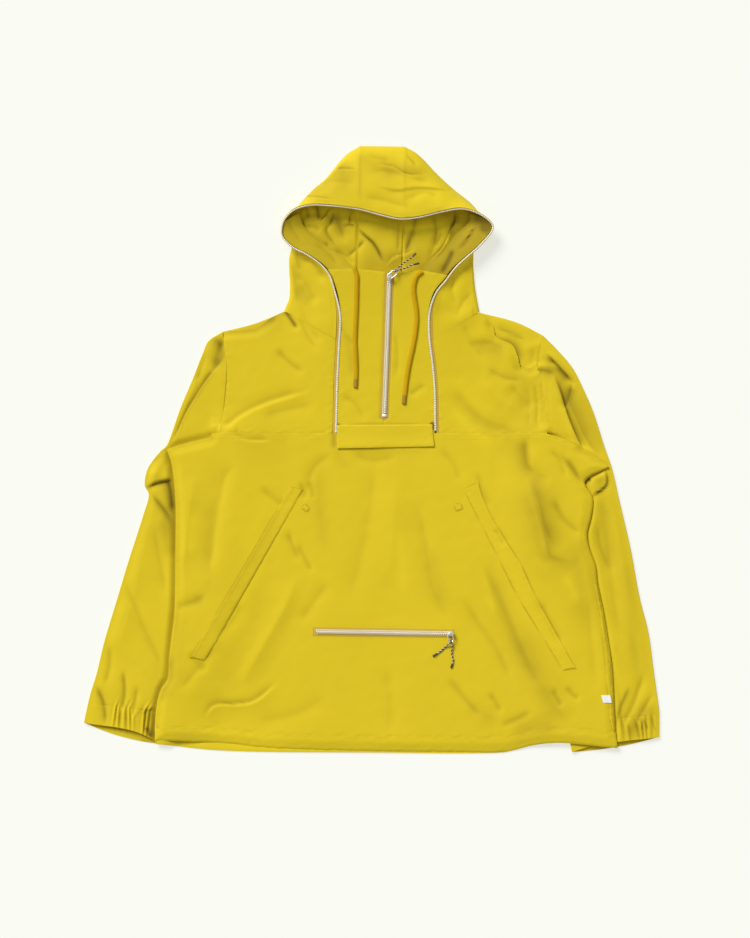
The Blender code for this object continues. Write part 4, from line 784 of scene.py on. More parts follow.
def loopPiece(name, path, radius, paint, around=12):
    # ring of wire or cord along a closed path, shaped from a torus
    path = np.array(path, float)
    side, up = framesOf(path, True)
    piece = added(name, "torus", major_segments=len(path), minor_segments=around, major_radius=1, minor_radius=0.2)
    for vertex in piece.data.vertices:
        x, y, z = vertex.co
        turn = math.atan2(y, x) / (2 * math.pi) * len(path)
        k = int(round(turn)) % len(path)
        out = (math.hypot(x, y) - 1) / 0.2
        vertex.co = Vector(path[k] + radius * (out * side[k] + z / 0.2 * up[k])) * mm
    mend()
    return finishPiece(piece, paint, 0)


def joined(name, pieces):
    pick(*pieces)
    bpy.ops.object.join()
    pieces[0].name = pieces[0].data.name = name
    return pieces[0]


def onBody(piece, node, body="garment"):
    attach(piece, body)
    if node:
        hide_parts(node)
    return piece


def twisted(name, path, yarns, yarnRadius, twistRadius, pitch):
    # yarns laid round a path
    count = int(lengthOf(path) / 0.45)
    fine = smooth(path, count)
    side, up = framesOf(fine)
    run = np.linspace(0, lengthOf(fine), count)
    parts = []
    for k, paint in enumerate(yarns):
        turn = 2 * math.pi * (run / pitch + k / len(yarns))[:, None]
        line = fine + twistRadius * (np.cos(turn) * side + np.sin(turn) * up)
        parts.append(tubePiece(name + str(k), line, yarnRadius, paint, 8))
    return joined(name, parts), fine


drawcords = {"width": 6.4, "flat": 0.58, "sunk": 0.3, "tipWidth": 6.2, "tipLength": 13.0,
             "lengths": {"left": 0.173, "right": 0.198},
             "left": [(-27, 263), (-23.5, 252), (-23.5, 240), (-24, 209), (-26, 160), (-24.5, 120), (-25.5, 91)],
             "right": [(71, 259), (62, 250), (58.5, 231), (63, 195), (59.5, 160), (51, 120), (46.5, 88), (44.5, 67.5)]}


def drawcord(which):
    # braided cord lying on the bib from the collar down, wrapped at its end
    plan = smooth(drawcords[which], 110)
    half = 0.5 * drawcords["width"]
    z = np.max([frontHeight(plan[:, 0] + dx, plan[:, 1]) for dx in (-1.5, 0, 1.5)], axis=0)
    line = np.column_stack([plan, evened(z + drawcords["flat"] * half - drawcords["sunk"], 6)])
    run = runOf(line)
    place = np.random.default_rng(len(which)).uniform(0, 9)
    radius = half * (1 + 0.025 * np.sin(run / 3.1 + place) + 0.02 * np.sin(run / 7.7 + 2 * place))
    cut = run[-1] - drawcords["tipLength"]
    radius = np.where(run > cut + 1.5, 0.8 * half, radius)
    cordPiece = tubePiece("drawcord_" + which + "_braid", line, radius, drawcordBraid, 20, drawcords["flat"])
    along = np.concatenate([np.linspace(cut, cut + 1.2, 5), np.linspace(cut + 2, run[-1] - 1, 16),
                            np.linspace(run[-1] - 0.7, run[-1], 4)])
    wrap = 0.5 * drawcords["tipWidth"] * np.concatenate([[0.86, 0.93, 0.97, 0.99, 1.0], np.full(16, 1.0),
                                                         [0.98, 0.93, 0.84, 0.62]])
    wrap[5:21] += 0.05 * np.sin(np.arange(16) * 2.1)
    tip = tubePiece("drawcord_" + which + "_wrap", pointsAt(line, run, along), wrap, tipWrap, 20, 0.7)
    onBody(cordPiece, "drawcord_" + which)
    onBody(tip, "drawcord_" + which + "_tip")


for which in ("left", "right"):
    drawcord(which)

# zip pulls: a wire loop that turns in the slider's bail, and a knotted cord with two tails

pulls = {"wire": 1.6, "width": 7.4, "length": 12.0, "corner": 2.6, "knot": 4.6, "tail": 2.2, "tip": 2.9,
         "tipLength": 7.0,
         "chest": {"axis": (23.717, 250.0, 26.523), "turn": 43.0, "droop": 0.0, "lengths": (0.035, 0.032),
                   "tails": [[(35.5, 262.7, 26.2), (45, 271, 25.08), (54, 277, 24.12), (62, 284.5, 22.92)],
                             [(37.2, 259.8, 26.2), (49, 264, 26.2), (58, 268, 25.56), (67, 270, 25.24)]]},
         "pocket": {"axis": (111.5, -264.8, 14.356), "turn": -84.0, "droop": 14.0, "lengths": (0.031, 0.034),
                    "tails": [[(110.5, -279.6, 10.4), (104, -285), (96, -292), (86.5, -298)],
                              [(114.3, -281.5, 10.4), (114, -294), (116, -304), (113, -315)]]}}


def pullPieces(which):
    made = pulls[which]
    body = which + "_pull"
    node = which + "_zip_"
    turnTo = Matrix.Translation(made["axis"]) @ Matrix.Rotation(math.radians(made["turn"]), 4, "Z") \
        @ Matrix.Rotation(math.radians(made["droop"]), 4, "Y")

    def placed(points):
        return np.array([turnTo @ Vector(p) for p in points])

    half, corner, length = 0.5 * pulls["width"], pulls["corner"], pulls["length"]
    outline = []
    for cx, cy, start in ((corner, corner - half, 180), (length - corner, corner - half, 270),
                          (length - corner, half - corner, 0), (corner, half - corner, 90)):
        for step in np.linspace(0, 90, 8):
            a = math.radians(start + step)
            outline.append((cx + corner * math.cos(a), cy + corner * math.sin(a), 0))
    loop = loopPiece(which + "WireLoop", placed(outline), 0.5 * pulls["wire"], sliderMetal)
    onBody(loop, node + "pull", body)

    far = length + 0.5 * pulls["wire"] + 0.5 * pulls["knot"]
    t = np.linspace(0, 2 * math.pi, 60, endpoint=False)
    size = 0.5 * pulls["knot"] / 4.1
    knotLine = np.column_stack([far + size * (np.sin(t) + 2 * np.sin(2 * t)), size * (np.cos(t) - 2 * np.cos(2 * t)),
                                -0.2 - 0.9 * np.sin(3 * t)])
    hitch = [(length + 1.7 * math.cos(a), 0.3 * math.sin(2 * a), 1.7 * math.sin(a)) for a in t[::3]]
    knotParts = [loopPiece("knotDark", placed(knotLine), 0.75, darkYarn, 8),
                 loopPiece("knotPale", placed(knotLine + (0.25, 0.1, 0.45)), 0.45, paleYarn, 8),
                 loopPiece("knotHitch", placed(hitch), 0.75, darkYarn, 8)]
    knot = joined(which + "PullKnot", knotParts)
    onBody(knot, node + "pull_knot", body)

    for k, route in enumerate(made["tails"]):
        route = [(*p, float(frontHeight(np.array(p[0]), np.array(p[1]))) + 1.5) if len(p) == 2 else p for p in route]
        label = node + "cord_" + "ab"[k]
        tail, line = twisted(which + "Tail" + "AB"[k], route, (darkYarn, darkYarn, paleYarn), 0.56, 0.52, 5.2)
        run = runOf(line)
        along = run[-1] - pulls["tipLength"] * np.array([1, 0.96, 0.9, 0.7, 0.5, 0.3, 0.1, 0.04, 0.0])
        swell = 0.5 * pulls["tip"] * np.array([0.8, 0.95, 1, 1, 1, 1, 1, 0.9, 0.6])
        tip = tubePiece(which + "Tip" + "AB"[k], pointsAt(line, run, along), swell, tipDark, 14)
        onBody(tail, label, body)
        onBody(tip, label + "_tip", body)


for which in ("chest", "pocket"):
    pullPieces(which)
print("cords and pulls made")


# body

seamTop = smooth(yokeLeft + yokeMiddle[1:] + yokeRight[1:], 500)
edgeLeft, edgeRight, seamHem = smooth(bodyLeft, 300), smooth(bodyRight, 300), smooth(hemSeam, 400)
armLeft, armRight = smooth(armholeLeft, 120), smooth(armholeRight, 120)
legLeft, legRight = smooth(zipLegLeft, 200), smooth(zipLegRight, 200)
bodySides = (seamHem, edgeRight[::-1], seamTop, edgeLeft[::-1])
body = {"pitch": 2.7, "yokePitch": 1.8, "backPitch": 8.0, "puckers": 0.16, "folded": 1.6, "seam": 0.16}


def backTop(x, y):
    return backHeight(x, y) + layers["wall"]


def yokeBackTop(x, y):
    return backTop(x, y) + np.maximum(0, creases(x, y, yokeBackFolds))


yokeBackFolds = [
    (2.2, 14, 6, [(213, 143), (236, 152), (260, 160)]),
    (2.6, 5, 0.8, 9, 3, [(222, 108), (229, 117), (239, 123), (251, 123)]),
    (1.6, 16, 4, [(164, 192), (207, 181), (242, 163)]),
    (0.9, 10, 3, [(-132, 196), (-170, 186), (-213, 172)]),
    (-1.0, 3, 2, [(173, 182), (196, 172), (225, 159)]),
    (-1.0, 3, 2, [(232, 152), (232, 137), (228, 120)]),
]
# painted shade on the back yoke beside the front's edge and in its folds
yokeBackPaintedShade = [
    (0.6, 3.5, 3, [(170, 182), (177, 166), (202, 154), (210, 140), (212, 120), (225, 112), (244, 105)]),
    (0.35, 9, 3, [(184, 163), (204, 154), (215, 128)]),
    (0.6, 6, 0.6, 9, 3, [(251, 146), (265, 128), (274, 108)]),
    (0.35, 2.5, 2, [(173, 182), (196, 172), (225, 159)]),
]

# painted shade and painted highlights of the front panel, yokes and hem
frontPaintedTone = frontPaintedShade + frontPaintedLight
frontCloth = panel("frontCloth", bodySides, body["pitch"], frontHeight, 2 * (body["seam"], body["folded"]),
                   puckers=body["puckers"], dark=frontPaintedTone)
backCloth = panel("backCloth", bodySides, body["backPitch"], backTop, (0, 0, 0, 0), cavityShading=(1, 9.0))
clothPiece(backCloth, "back_panel")

yokeBackSides = (portion(seamTop, (-225, 26), (252, 24)), armRight,
                 np.vstack([smooth([armholeLeft[-1], (-171, 184), neckLeft], 30), [(-23, 178), (38, 178)],
                            smooth([neckRight, (207, 186), armholeRight[-1]], 40)]), armLeft)
yokeBackCloth = panel("yokeBackCloth", yokeBackSides, 3.0, yokeBackTop, (0, 0, 0.3, 0), cavityShading=(14, 4.0),
                      dark=yokeBackPaintedShade)
clothPiece(yokeBackCloth, "back_yoke")

overTape = np.array([3.1, 0])       # the cloth laps over the zip tape
yokeLeftSides = (portion(seamTop, (-225, 26), (-62, 25)), portion(legLeft, (-62, 25), neckEndLeft) + overTape,
                 np.vstack([smooth(shoulderLeft, 80), [neckEndLeft + overTape]]), armLeft)
yokeLeftCloth = panel("yokeLeftCloth", yokeLeftSides, body["yokePitch"], frontHeight,
                      (body["seam"], 0.2, 0.0, 0.3), puckers=body["puckers"], cavityShading=(50, 3.0), dark=frontPaintedTone)
yokeRightSides = (portion(seamTop, (99, 25), (252, 24)), smooth(armholeRight[:4], 120),
                  np.vstack([[neckEndRight - overTape], smooth(shoulderRight, 120)]),
                  portion(legRight, (99, 25), neckEndRight) - overTape)
yokeRightCloth = panel("yokeRightCloth", yokeRightSides, body["yokePitch"], frontHeight,
                       (body["seam"], 0.15, 0.0, 0.2), puckers=body["puckers"], cavityShading=(50, 3.0), dark=frontPaintedTone)

# painted highlights on the back hem's strip where the front hem shades it, and painted shade at its right corner
hemPaintedTone = [
    (-0.3, 9, 4, [(-306, -426), (-164, -428), (10, -431), (155, -433), (286, -428)]),
    (-0.2, 4, 2, [(206, -427), (249, -424), (289, -427)]),
    (-0.4, 4, 2, [(-304, -423), (-268, -423), (-233, -424)]),
    (0.6, 2.4, 2, [(296, -424), (304, -436), (329, -434), (358, -430)]),
    (0.7, 8, 3, [(291, -430), (323, -439), (361, -430)]),
]
hemFrontCloth = panel("hemFrontCloth", (smooth(frontHem, 400), [frontHem[-1], hemSeam[-1]], seamHem,
                                        [frontHem[0], hemSeam[0]]), body["pitch"], frontHeight,
                      (1.3, 1.2, 0.1, 1.2), puckers=body["puckers"], wall=0.9, cavityShading=(1, 9.0), dark=frontPaintedTone)
hemBackCloth = panel("hemBackCloth", (smooth(backHem, 200), [backHem[-1], hemSeam[-1]], seamHem,
                                      [backHem[0], hemSeam[0]]), 4.5, lambda x, y: backTop(x, y) + 1.0,
                     (0.3, 0.3, 0, 0.3), wall=0.9, cavityShading=(1, 9.0), dark=hemPaintedTone)
print("body laid")


# sleeves and cuffs: rows of (outer x, outer y, inner x, inner y), shoulder to cuff seam

sleeveLeftRows = [(-218, 172, -225, 26), (-238, 159, -231, 15), (-247, 140, -231.5, 3), (-262, 102, -230.5, -10),
                  (-280, 59, -226, -28), (-297, 11, -214, -50), (-309, -2, -215, -64), (-326, -25, -217, -80),
                  (-331, -49, -220, -95), (-325, -65, -223, -109), (-333, -94, -228, -131),
                  (-354, -159, -236, -188), (-370, -212, -245, -237), (-389, -275, -265, -292),
                  (-400, -321, -284, -339), (-409, -350, -297, -365), (-413, -366, -307, -379)]
sleeveRightRows = [(246, 167, 252, 24), (267, 146, 257, 14), (289, 120, 258, -6), (305, 89, 257, -22),
                   (320, 54, 255, -38), (335, 7, 252, -57), (347, -28, 249, -79), (357, -72, 246, -104),
                   (373, -141, 249, -162), (386, -211, 258, -225), (399, -263, 264, -275),
                   (407, -321, 270, -333), (414, -370, 275, -385), (415, -382, 280, -394)]
cuffMouthLeft = (-419, -394, -311, -425, 8, -5)     # two corners, and how far the layers bow apart
cuffMouthRight = (415, -415, 288, -437, 4, -4)

sleeveFolds = [
    (1.6, 30, -3.6, 8, 2.5, [(-209, 140), (-231, 115), (-244, 98), (-258, 76), (-270, 56), (-286, 21), (-300, -5)]),
    (-3.2, 7, -3.2, 8, 3, [(-216, 169), (-222, 146), (-233, 114)]),
    (1.8, 5, 4, [(-248, 150), (-232, 160), (-213, 170)]),
    (-1.8, 8, 4, [(-242, 146), (-248, 123), (-257, 96)]),
    (-2.8, 10, -1.2, 4, 2, [(-315, -2), (-265, 11), (-219, 27)]),
    (4.2, 13, 5, [(-306, 4), (-319, -20), (-320, -46)]),
    (2.4, 12, -3.2, 6, 2.5, [(-336, -60), (-315, -47), (-284, -41)]),
    (-3.8, 5, -3.8, 6, 3, [(-299, -38), (-293, -57), (-284, -95)]),
    (-2.2, 7, 1.0, 12, 3, [(-329, -57), (-309, -80), (-286, -109)]),
    (-2.2, 10, -2.2, 12, 4, [(-364, -179), (-326, -269), (-297, -330)]),
    (1.2, 16, 4, [(-329, -130), (-349, -217), (-378, -318)]),
    (-2.4, 5, 3, [(-403, -336), (-390, -368), (-387, -402)]),
    (-2.2, 5, 3, [(-362, -315), (-360, -353), (-368, -385)]),
    (-2.0, 5, 3, [(-341, -339), (-344, -362), (-349, -391)]),
    (-1.8, 6, 3, [(-384, -275), (-381, -310), (-390, -347)]),
    (-1.8, 10, 4, [(-318, -101), (-309, -159), (-297, -217)]),
    (-4.6, 20, 1.6, 16, 2.5, [(261, 114), (273, 82), (281, 56), (291, 30), (310, -11)]),
    (1.6, 14, -3.4, 12, 2.5, [(251, 143), (271, 120), (293, 96)]),
    (1.2, 8, -2.6, 7, 2.5, [(291, 99), (286, 80), (277, 56)]),
    (2.4, 4, 1.2, 8, 3, [(226, 114), (242, 123), (260, 124), (273, 115)]),
    (-2.6, 10, -2.6, 8, 3, [(260, 24), (306, 9), (347, -20)]),
    (-3.4, 4, 3, [(303, -49), (310, -44), (318, -40)]),
    (-1.8, 5, 1.6, 9, 2, [(335, -22), (338, -49), (312, -69)]),
    (-2.4, 14, -2.4, 22, 6, [(329, -66), (338, -130), (349, -217), (361, -292)]),
    (1.2, 12, 4, [(347, -72), (364, -173), (381, -275)]),
    (-2.4, 6, 3, [(355, -408), (376, -370), (394, -318)]),
    (-2.2, 5, 3, [(378, -402), (393, -373), (412, -344)]),
    (-2.0, 6, 3, [(338, -275), (355, -347), (361, -397)]),
    (-1.6, 7, 3, [(326, -101), (329, -137), (347, -181)]),
]
# painted shade in the sleeves' creases and hollows, and a few painted highlights on their lit folds
sleevePaintedShade = [
    (0.8, 6, 0.8, 9, 3, [(-241, 159), (-223, 157), (-219, 137), (-232, 117)]),
    (0.6, 2.6, 0.6, 3, 2, [(-210, 140), (-238, 105), (-251, 85), (-268, 59), (-291, 9), (-303, -2)]),
    (1.0, 5, 3, [(-299, -34), (-294, -57), (-291, -95)]),
    (0.6, 4, 3, [(-334, -57), (-316, -46), (-291, -41)]),
    (0.7, 5, 3, [(-323, -63), (-309, -80), (-291, -107)]),
    (0.35, 12, 4, [(-309, -94), (-300, -123), (-291, -159)]),
    (0.5, 20, 0.5, 3, 2, [(261, 108), (273, 80), (280, 59), (290, 33), (306, -2)]),
    (0.4, 24, 0.0, 3, 2, [(277, 85), (291, 53), (309, 15), (329, -14)]),
    (0.8, 4, 0.8, 14, 2, [(251, 140), (271, 120), (291, 98)]),
    (0.6, 4, 0.6, 12, 2, [(291, 96), (286, 80), (278, 59)]),
    (0.8, 4, 0.8, 5, 2, [(228, 114), (244, 117), (265, 112)]),
    (-0.6, 2, 2, [(228, 117), (244, 123), (261, 123), (270, 115)]),
    (1.4, 4, 3, [(304, -49), (310, -43), (316, -40)]),
    (0.3, 2.5, 2, [(304, -41), (323, -30), (342, -22)]),
    (0.45, 9, 3, [(329, -34), (329, -49), (319, -66)]),
    (0.4, 12, 0.4, 8, 3, [(-312, -34), (-297, -72), (-294, -137)]),
    (0.4, 8, 3, [(-323, -8), (-312, -11), (-300, -2)]),
    (0.6, 3, 2, [(335, -25), (338, -49), (315, -69)]),
    (0.3, 14, 0.3, 18, 4, [(329, -51), (338, -115), (347, -188)]),
    (0.25, 14, 4, [(355, -130), (370, -217), (378, -333)]),
    (0.16, 8, 4, [(373, -260), (381, -304), (378, -347)]),
    (0.16, 10, 4, [(-306, -275), (-312, -333), (-329, -379)]),
    (-0.16, 8, 4, [(265, 88), (280, 59), (289, 15)]),
    (-0.14, 8, 4, [(-265, 85), (-274, 56), (-283, 15)]),
    (1.0, 3, 2, [(354, -397), (358, -373), (373, -339)]),
    (0.5, 1.8, 2, [(377, -382), (383, -405), (387, -424)]),
    (0.5, 1.8, 2, [(368, -391), (371, -408), (373, -426)]),
    (0.5, 1.8, 2, [(390, -388), (399, -405)]),
    (0.5, 1.8, 2, [(402, -382), (409, -408)]),
    (0.5, 16, 3, [(361, -417), (387, -391), (410, -362)]),
    (0.6, 4, 2, [(-403, -336), (-390, -368), (-387, -402)]),
    (0.7, 10, 3, [(-326, -365), (-319, -385), (-318, -431)]),
    (1.3, 3.5, 2, [(-331, -399), (-325, -407), (-322, -417)]),
    (0.7, 2, 2, [(-315, -372), (-329, -378), (-335, -385)]),
    (0.5, 2, 2, [(-328, -370), (-341, -381), (-348, -391)]),
    (0.4, 3, 2, [(-362, -315), (-360, -353), (-365, -385)]),
]
leftOfBody = yokeLeft[::-1] + bodyLeft[1:] + [frontHem[0]]
rightOfBody = yokeRight + bodyRight[1:] + [frontHem[-1]]


def outOfBody(x, y):
    # how far out from under the body's edge
    return np.where(x < 0, fromLine(x, y, leftOfBody)[0], -fromLine(x, y, rightOfBody)[0])


# bumps along the body's edge and painted shade beside it, on the left and the right sleeve: height or darkness,
# distance out, width
beside = {"crevice": ((1.2, 2, 4), (0.2, 1.5, 3)), "swell": ((0.6, 5, 8), (1.1, 5, 8)),
          "shade": ((0.3, 0, 4), (0.05, 0, 3))}


def leftOrRight(x, out, which):
    left, right = (high * np.exp(-((out - at) / wide) ** 2) for high, at, wide in beside[which])
    return np.where(x < 0, left, right)


def sleeveHeight(x, y):
    # top of a sleeve: pressed down under the body, fuller beside it
    x, y = np.asarray(x, float), np.asarray(y, float)
    out = outOfBody(x, y)
    outside = np.where(x < 0, ease((out + 1) / 12), ease((out + 4) / 10))
    crevice = leftOrRight(x, out, "crevice") * (out > -6)
    top = layers["free"] + creases(x, y, sleeveFolds) + 0.35 * waves(x, y, "sleeve") \
        + 0.06 * waves(x, y, "sleeveFine")
    top = top + leftOrRight(x, out, "swell")
    floor = 2 * layers["wall"] + 0.5
    top = floor + 0.5 * (top - floor + np.sqrt((top - floor) ** 2 + 0.5))
    level = layers["pressed"] - 0.6 + (top - layers["pressed"] + 0.6) * outside
    return np.maximum(level - crevice * ease((30 - y) / 20), floor)


def sleevePaintedShadeAt(x, y):
    # painted shade on a sleeve beside the body's edge and in its deep folds
    out = outOfBody(x, y)
    return leftOrRight(x, out, "shade") * (out > -4) * ease((10 - y) / 14) + creases(x, y, sleevePaintedShade)


def bowed(outer, inner, shares, bow, armhole=None, skew=1.0):
    # plan points across a sleeve, bent by a bow or along the armhole seam
    outer, inner = np.array(outer, float), np.array(inner, float)
    line = outer + shares[:, None] * (inner - outer)
    across = (inner - outer) / np.linalg.norm(inner - outer)
    up = np.array([-across[1], across[0]]) * (1 if across[0] > 0 else -1)
    line = line + (4 * bow * shares ** skew * (1 - shares ** skew))[:, None] * up
    if armhole is not None:
        seam, amount = armhole
        straight = seam[0] + np.linspace(0, 1, len(seam))[:, None] * (seam[-1] - seam[0])
        at = np.linspace(0, 1, len(seam))
        line = line + amount * np.column_stack([np.interp(shares, at, (seam - straight)[:, i]) for i in (0, 1)])
    return line


def ring(top, bottom, high, steps=9):
    # one closed section of a flattened tube: along the bottom, round the inner fold, back over the top
    bend = layers["bend"]
    points = [(*p, 0.0) for p in bottom[1:-1]]
    for end, near in ((-1, -2), (0, 1)):
        middle = 0.5 * (top[end] + bottom[end])
        inward = 0.5 * (top[near] + bottom[near]) - middle
        inward /= np.linalg.norm(inward)
        turns = np.linspace(-75, 75, steps) * (1 if end == -1 else -1)
        for a in np.radians(turns):
            place = middle + bend * (1 - math.cos(a)) * inward
            points.append((*place, bend + bend * math.sin(a)))
        if end == -1:
            points += [(*top[k], high[k]) for k in range(len(top) - 2, 0, -1)]
    points.append(points[0])
    return np.array(points)


def shaped(high, shares, inner=0.08):
    # a section's height falls to its folded edges
    base = 2 * layers["bend"]
    return base + (high - base) * ease(shares / 0.13) * ease((1 - shares) / inner)


# painted shade on the lining just under each cuff's mouth
liningPaintedShade = [
    (0.5, 4, 2, [(-407, -397), (-367, -405), (-320, -421)]),
    (0.8, 5, 2, [(-341, -421), (-323, -426), (-309, -431)]),
    (0.6, 5, 2, [(355, -434), (387, -427), (413, -415)]),
]
cuffs = {"puckers": 12.5, "from": {31: 0.26, 37: -0.05}, "depth": 2.0, "rows": 16, "across": 136, "gathered": 1.1}


def gathers(shares, seed):
    # where the elastic draws the cloth up, across a cuff
    phase = np.random.default_rng(seed).uniform(0, 2 * math.pi)
    wander = 0.35 * np.sin(2 * math.pi * 2.3 * shares + phase) + 0.2 * np.sin(2 * math.pi * 5.1 * shares)
    strength = 0.85 + 0.3 * np.sin(2 * math.pi * 3.1 * shares + 2 * phase)
    wave = np.sin(2 * math.pi * (cuffs["puckers"] * shares + wander))
    return strength * ease((shares - cuffs["from"][seed]) / 0.15) * wave


sleeves = {"sections": 236, "across": 70}


def sleeveCloth(name, rows, armhole, seed):
    seam = sample(armhole[::-1], np.linspace(0, 1, 60))
    fine = smooth(np.column_stack([np.array(rows, float), np.arange(len(rows))]), sleeves["sections"])
    shares = np.concatenate([[0, 0.006, 0.02], np.linspace(0.04, 0.965, sleeves["across"]), [0.985, 1.0]])
    lower = shares[::2] if len(shares) % 2 else np.append(shares[:-1:2], 1.0)
    sections = []
    for ox, oy, ix, iy, row in fine:
        amount = max(0.0, 1 - row / 2) ** 2
        top = bowed((ox, oy), (ix, iy), shares, 0, (seam, amount))
        bottom = bowed((ox, oy), (ix, iy), lower, 0, (seam, amount))
        high = sleeveHeight(top[:, 0], top[:, 1])
        if row < 3:
            inside = frontHeight(top[:, 0] - 8 * np.sign(ox), top[:, 1])
            level = np.clip(inside, layers["pressed"], layers["free"] + 1 + 4.5 * ease((52 - top[:, 1]) / 18))
            high = high + (level - layers["free"]) * (1 - row / 3) ** 2 * ease((top[:, 1] - 20) / 6)
        near = max(0.0, 1 - (len(rows) - 1 - row) / cuffs["gathered"])
        under = ease((high - layers["pressed"]) / 1.5)
        high = high + 1.5 * near ** 1.5 * gathers(shares, seed) * under
        sections.append(ring(top, bottom, shaped(high, shares, 0.015 + 0.065 * min(1, row / 2))))
    points = np.array(sections)
    # painted shade in the sleeve's hollows, beside the body and along its rows, kept off the underside
    paintedShade = cavityShade(points[..., 2], 40, 3.0) + sleevePaintedShadeAt(points[..., 0], points[..., 1])
    return fromPoints(name, points, paintedShade=paintedShade * (points[..., 2] > 1.5), closed=True)


def cuffCloth(name, start, mouth, seed):
    # elastic casing: the sleeve's last section, gathered, down to the open mouth
    ox, oy, ix, iy, upBow, downBow = mouth
    first, last = np.array(start, float), np.array((ox, oy, ix, iy), float)
    shares = np.linspace(0, 1, cuffs["across"])
    sections = []
    for t in np.linspace(-0.04, 1, cuffs["rows"]):
        row = first + t * (last - first)
        top = bowed(row[:2], row[2:], shares, upBow * t, skew=1.5)
        bottom = bowed(row[:2], row[2:], shares[::3], downBow * t)
        high = sleeveHeight(top[:, 0], top[:, 1])
        under = ease((high - layers["pressed"]) / 1.5)
        slant = shares + 0.03 * t * np.sin(9 * shares + seed)
        drawn = 1.5 + (cuffs["depth"] - 1.5) * math.sin(math.pi * max(0, t)) - 0.9 * max(0, t) ** 2
        high = high + drawn * gathers(slant, seed) * under - 0.6 * (t < 0)
        sections.append(ring(top, bottom, shaped(high, shares)))
    points = np.array(sections)
    # painted shade in the gathers, and on the lining under the mouth its own painted shade
    paintedShade = cavityShade(points[..., 2], 14, 2.2) + sleevePaintedShadeAt(points[..., 0], points[..., 1])
    low = points[..., 2] < 1.5
    liningShade = creases(points[..., 0], points[..., 1], liningPaintedShade)
    return fromPoints(name, points, paintedShade=np.where(low, liningShade, paintedShade), closed=True, wall=0.9)


sleeveLeftCloth = sleeveCloth("sleeveLeftCloth", sleeveLeftRows, armLeft, 31)
sleeveRightCloth = sleeveCloth("sleeveRightCloth", sleeveRightRows, armRight, 37)
cuffLeftCloth = cuffCloth("cuffLeftCloth", sleeveLeftRows[-1], cuffMouthLeft, 31)
cuffRightCloth = cuffCloth("cuffRightCloth", sleeveRightRows[-1], cuffMouthRight, 37)
clothPiece(sleeveLeftCloth, "sleeve_left")
clothPiece(sleeveRightCloth, "sleeve_right")
clothPiece(cuffLeftCloth, "cuff_left")
clothPiece(cuffRightCloth, "cuff_right")
print("sleeves laid")


# hood: rows of (rim x, y, z, fold x, y, floor end y, sag), from the crown seam down to the neck

hoodLeftRows = [(-19, 351, 32, -19, 441, 431, 0.0), (-43, 354, 31.6, -41, 426, 418, 0.0),
                (-67, 357, 31, -67, 395, 395, 0.1), (-86, 357, 29.6, -83, 381, 375, 0.3),
                (-102, 355, 28, -97, 367, 356, 0.5), (-115, 350, 26, -108, 354, 342, 0.5),
                (-128, 337, 23, -121, 337, 327, 0.5), (-133, 321, 21, -126, 321, 314, 0.5),
                (-131, 307, 21, -123, 309, 301, 0.5), (-116, 292, 21.5, -117, 296, 288, 0.6),
                (-95, 281, 21, -121, 279, 273, 0.7), (-76, 267, 20, -121, 259, 257, 0.7),
                (-64.6, 253, 18.8, -120, 243, 244, 0.7), (-59.6, 239, 17.4, -120, 233, 233, 0.7),
                (-55.6, 220, 15.3, -121, 221, 221, 0.6), (-53, 195, 12.9, -126, 208, 206, 0.5),
                (-54.1, 161.6, 10.2, -128.5, 202, 179, 0.4)]
hoodRightRows = [(46, 338, 32.4, 46, 440, 430, 0.0), (67, 340, 32, 66, 428, 417, 0.0),
                 (96, 347, 31.5, 93, 400, 392, 0.1), (115, 351, 30.6, 117, 378, 370, 0.3),
                 (133, 351, 29.4, 136, 363, 354, 0.4), (151, 346, 27, 147, 352, 340, 0.5),
                 (171, 331, 22.5, 162, 331, 327, 0.5), (173, 317, 21, 163, 318, 314, 0.5),
                 (154, 294, 21.5, 147, 297, 298, 0.6), (123, 266, 20, 145, 273, 281, 0.7),
                 (106, 244, 17.8, 146, 252, 263, 0.7), (92.6, 225, 15.9, 148, 233, 246, 0.7),
                 (87, 199, 13.0, 151, 217, 227, 0.6), (87.2, 161.6, 10.2, 153.8, 201, 179, 0.4)]
# zip round the hood: row = (x, y, z of its outer edge, width from above, rise of its inner edge)
hoodZip = [(-58, 220, 14.0, 8.4, 1.2), (-61, 239, 16.4, 6.4, 1), (-65, 253, 18.2, 4.6, 0.4),
           (-76, 267, 20, 3.3, -1), (-95, 281, 21, 2.8, -1.5), (-116, 292, 21.5, 2.5, -1.5),
           (-131, 307, 21, 2.2, -1), (-133, 321, 21, 2.2, -1), (-128, 337, 23, 2.2, -2),
           (-115, 350, 26, 2.4, -4), (-94, 357, 29, 2.7, -6), (-67, 357, 31, 3.0, -7),
           (-23, 352, 32, 3.0, -7), (12, 343, 32.4, 3.0, -7), (39, 337, 32.4, 3.0, -7),
           (67, 340, 32, 3.0, -7), (96, 347, 31.5, 3.0, -7), (126, 352, 30, 2.8, -6),
           (151, 346, 27, 2.4, -4), (171, 331, 22.5, 2.2, -2), (173, 317, 21, 2.2, -1),
           (154, 294, 21.5, 2.5, -1.5), (123, 266, 20, 3.3, -1), (107, 244, 17.0, 5.6, 0.4),
           (95, 225, 14.6, 8.2, 1.2)]


def lowered(rows):
    # the hood's edge over the forehead, where its cloth laps over the zip tape
    return [(row[0], row[1] - 1.9 * float(ease((row[1] - 322) / 20)), *row[2:]) for row in rows]


hoodLeftRows, hoodRightRows, hoodZip = lowered(hoodLeftRows), lowered(hoodRightRows), lowered(hoodZip)
crownLeft, crownRight = (-19, 441), (46, 440)
hoodFloorLeft, hoodFloorRight = (-23, 179), (38, 179)

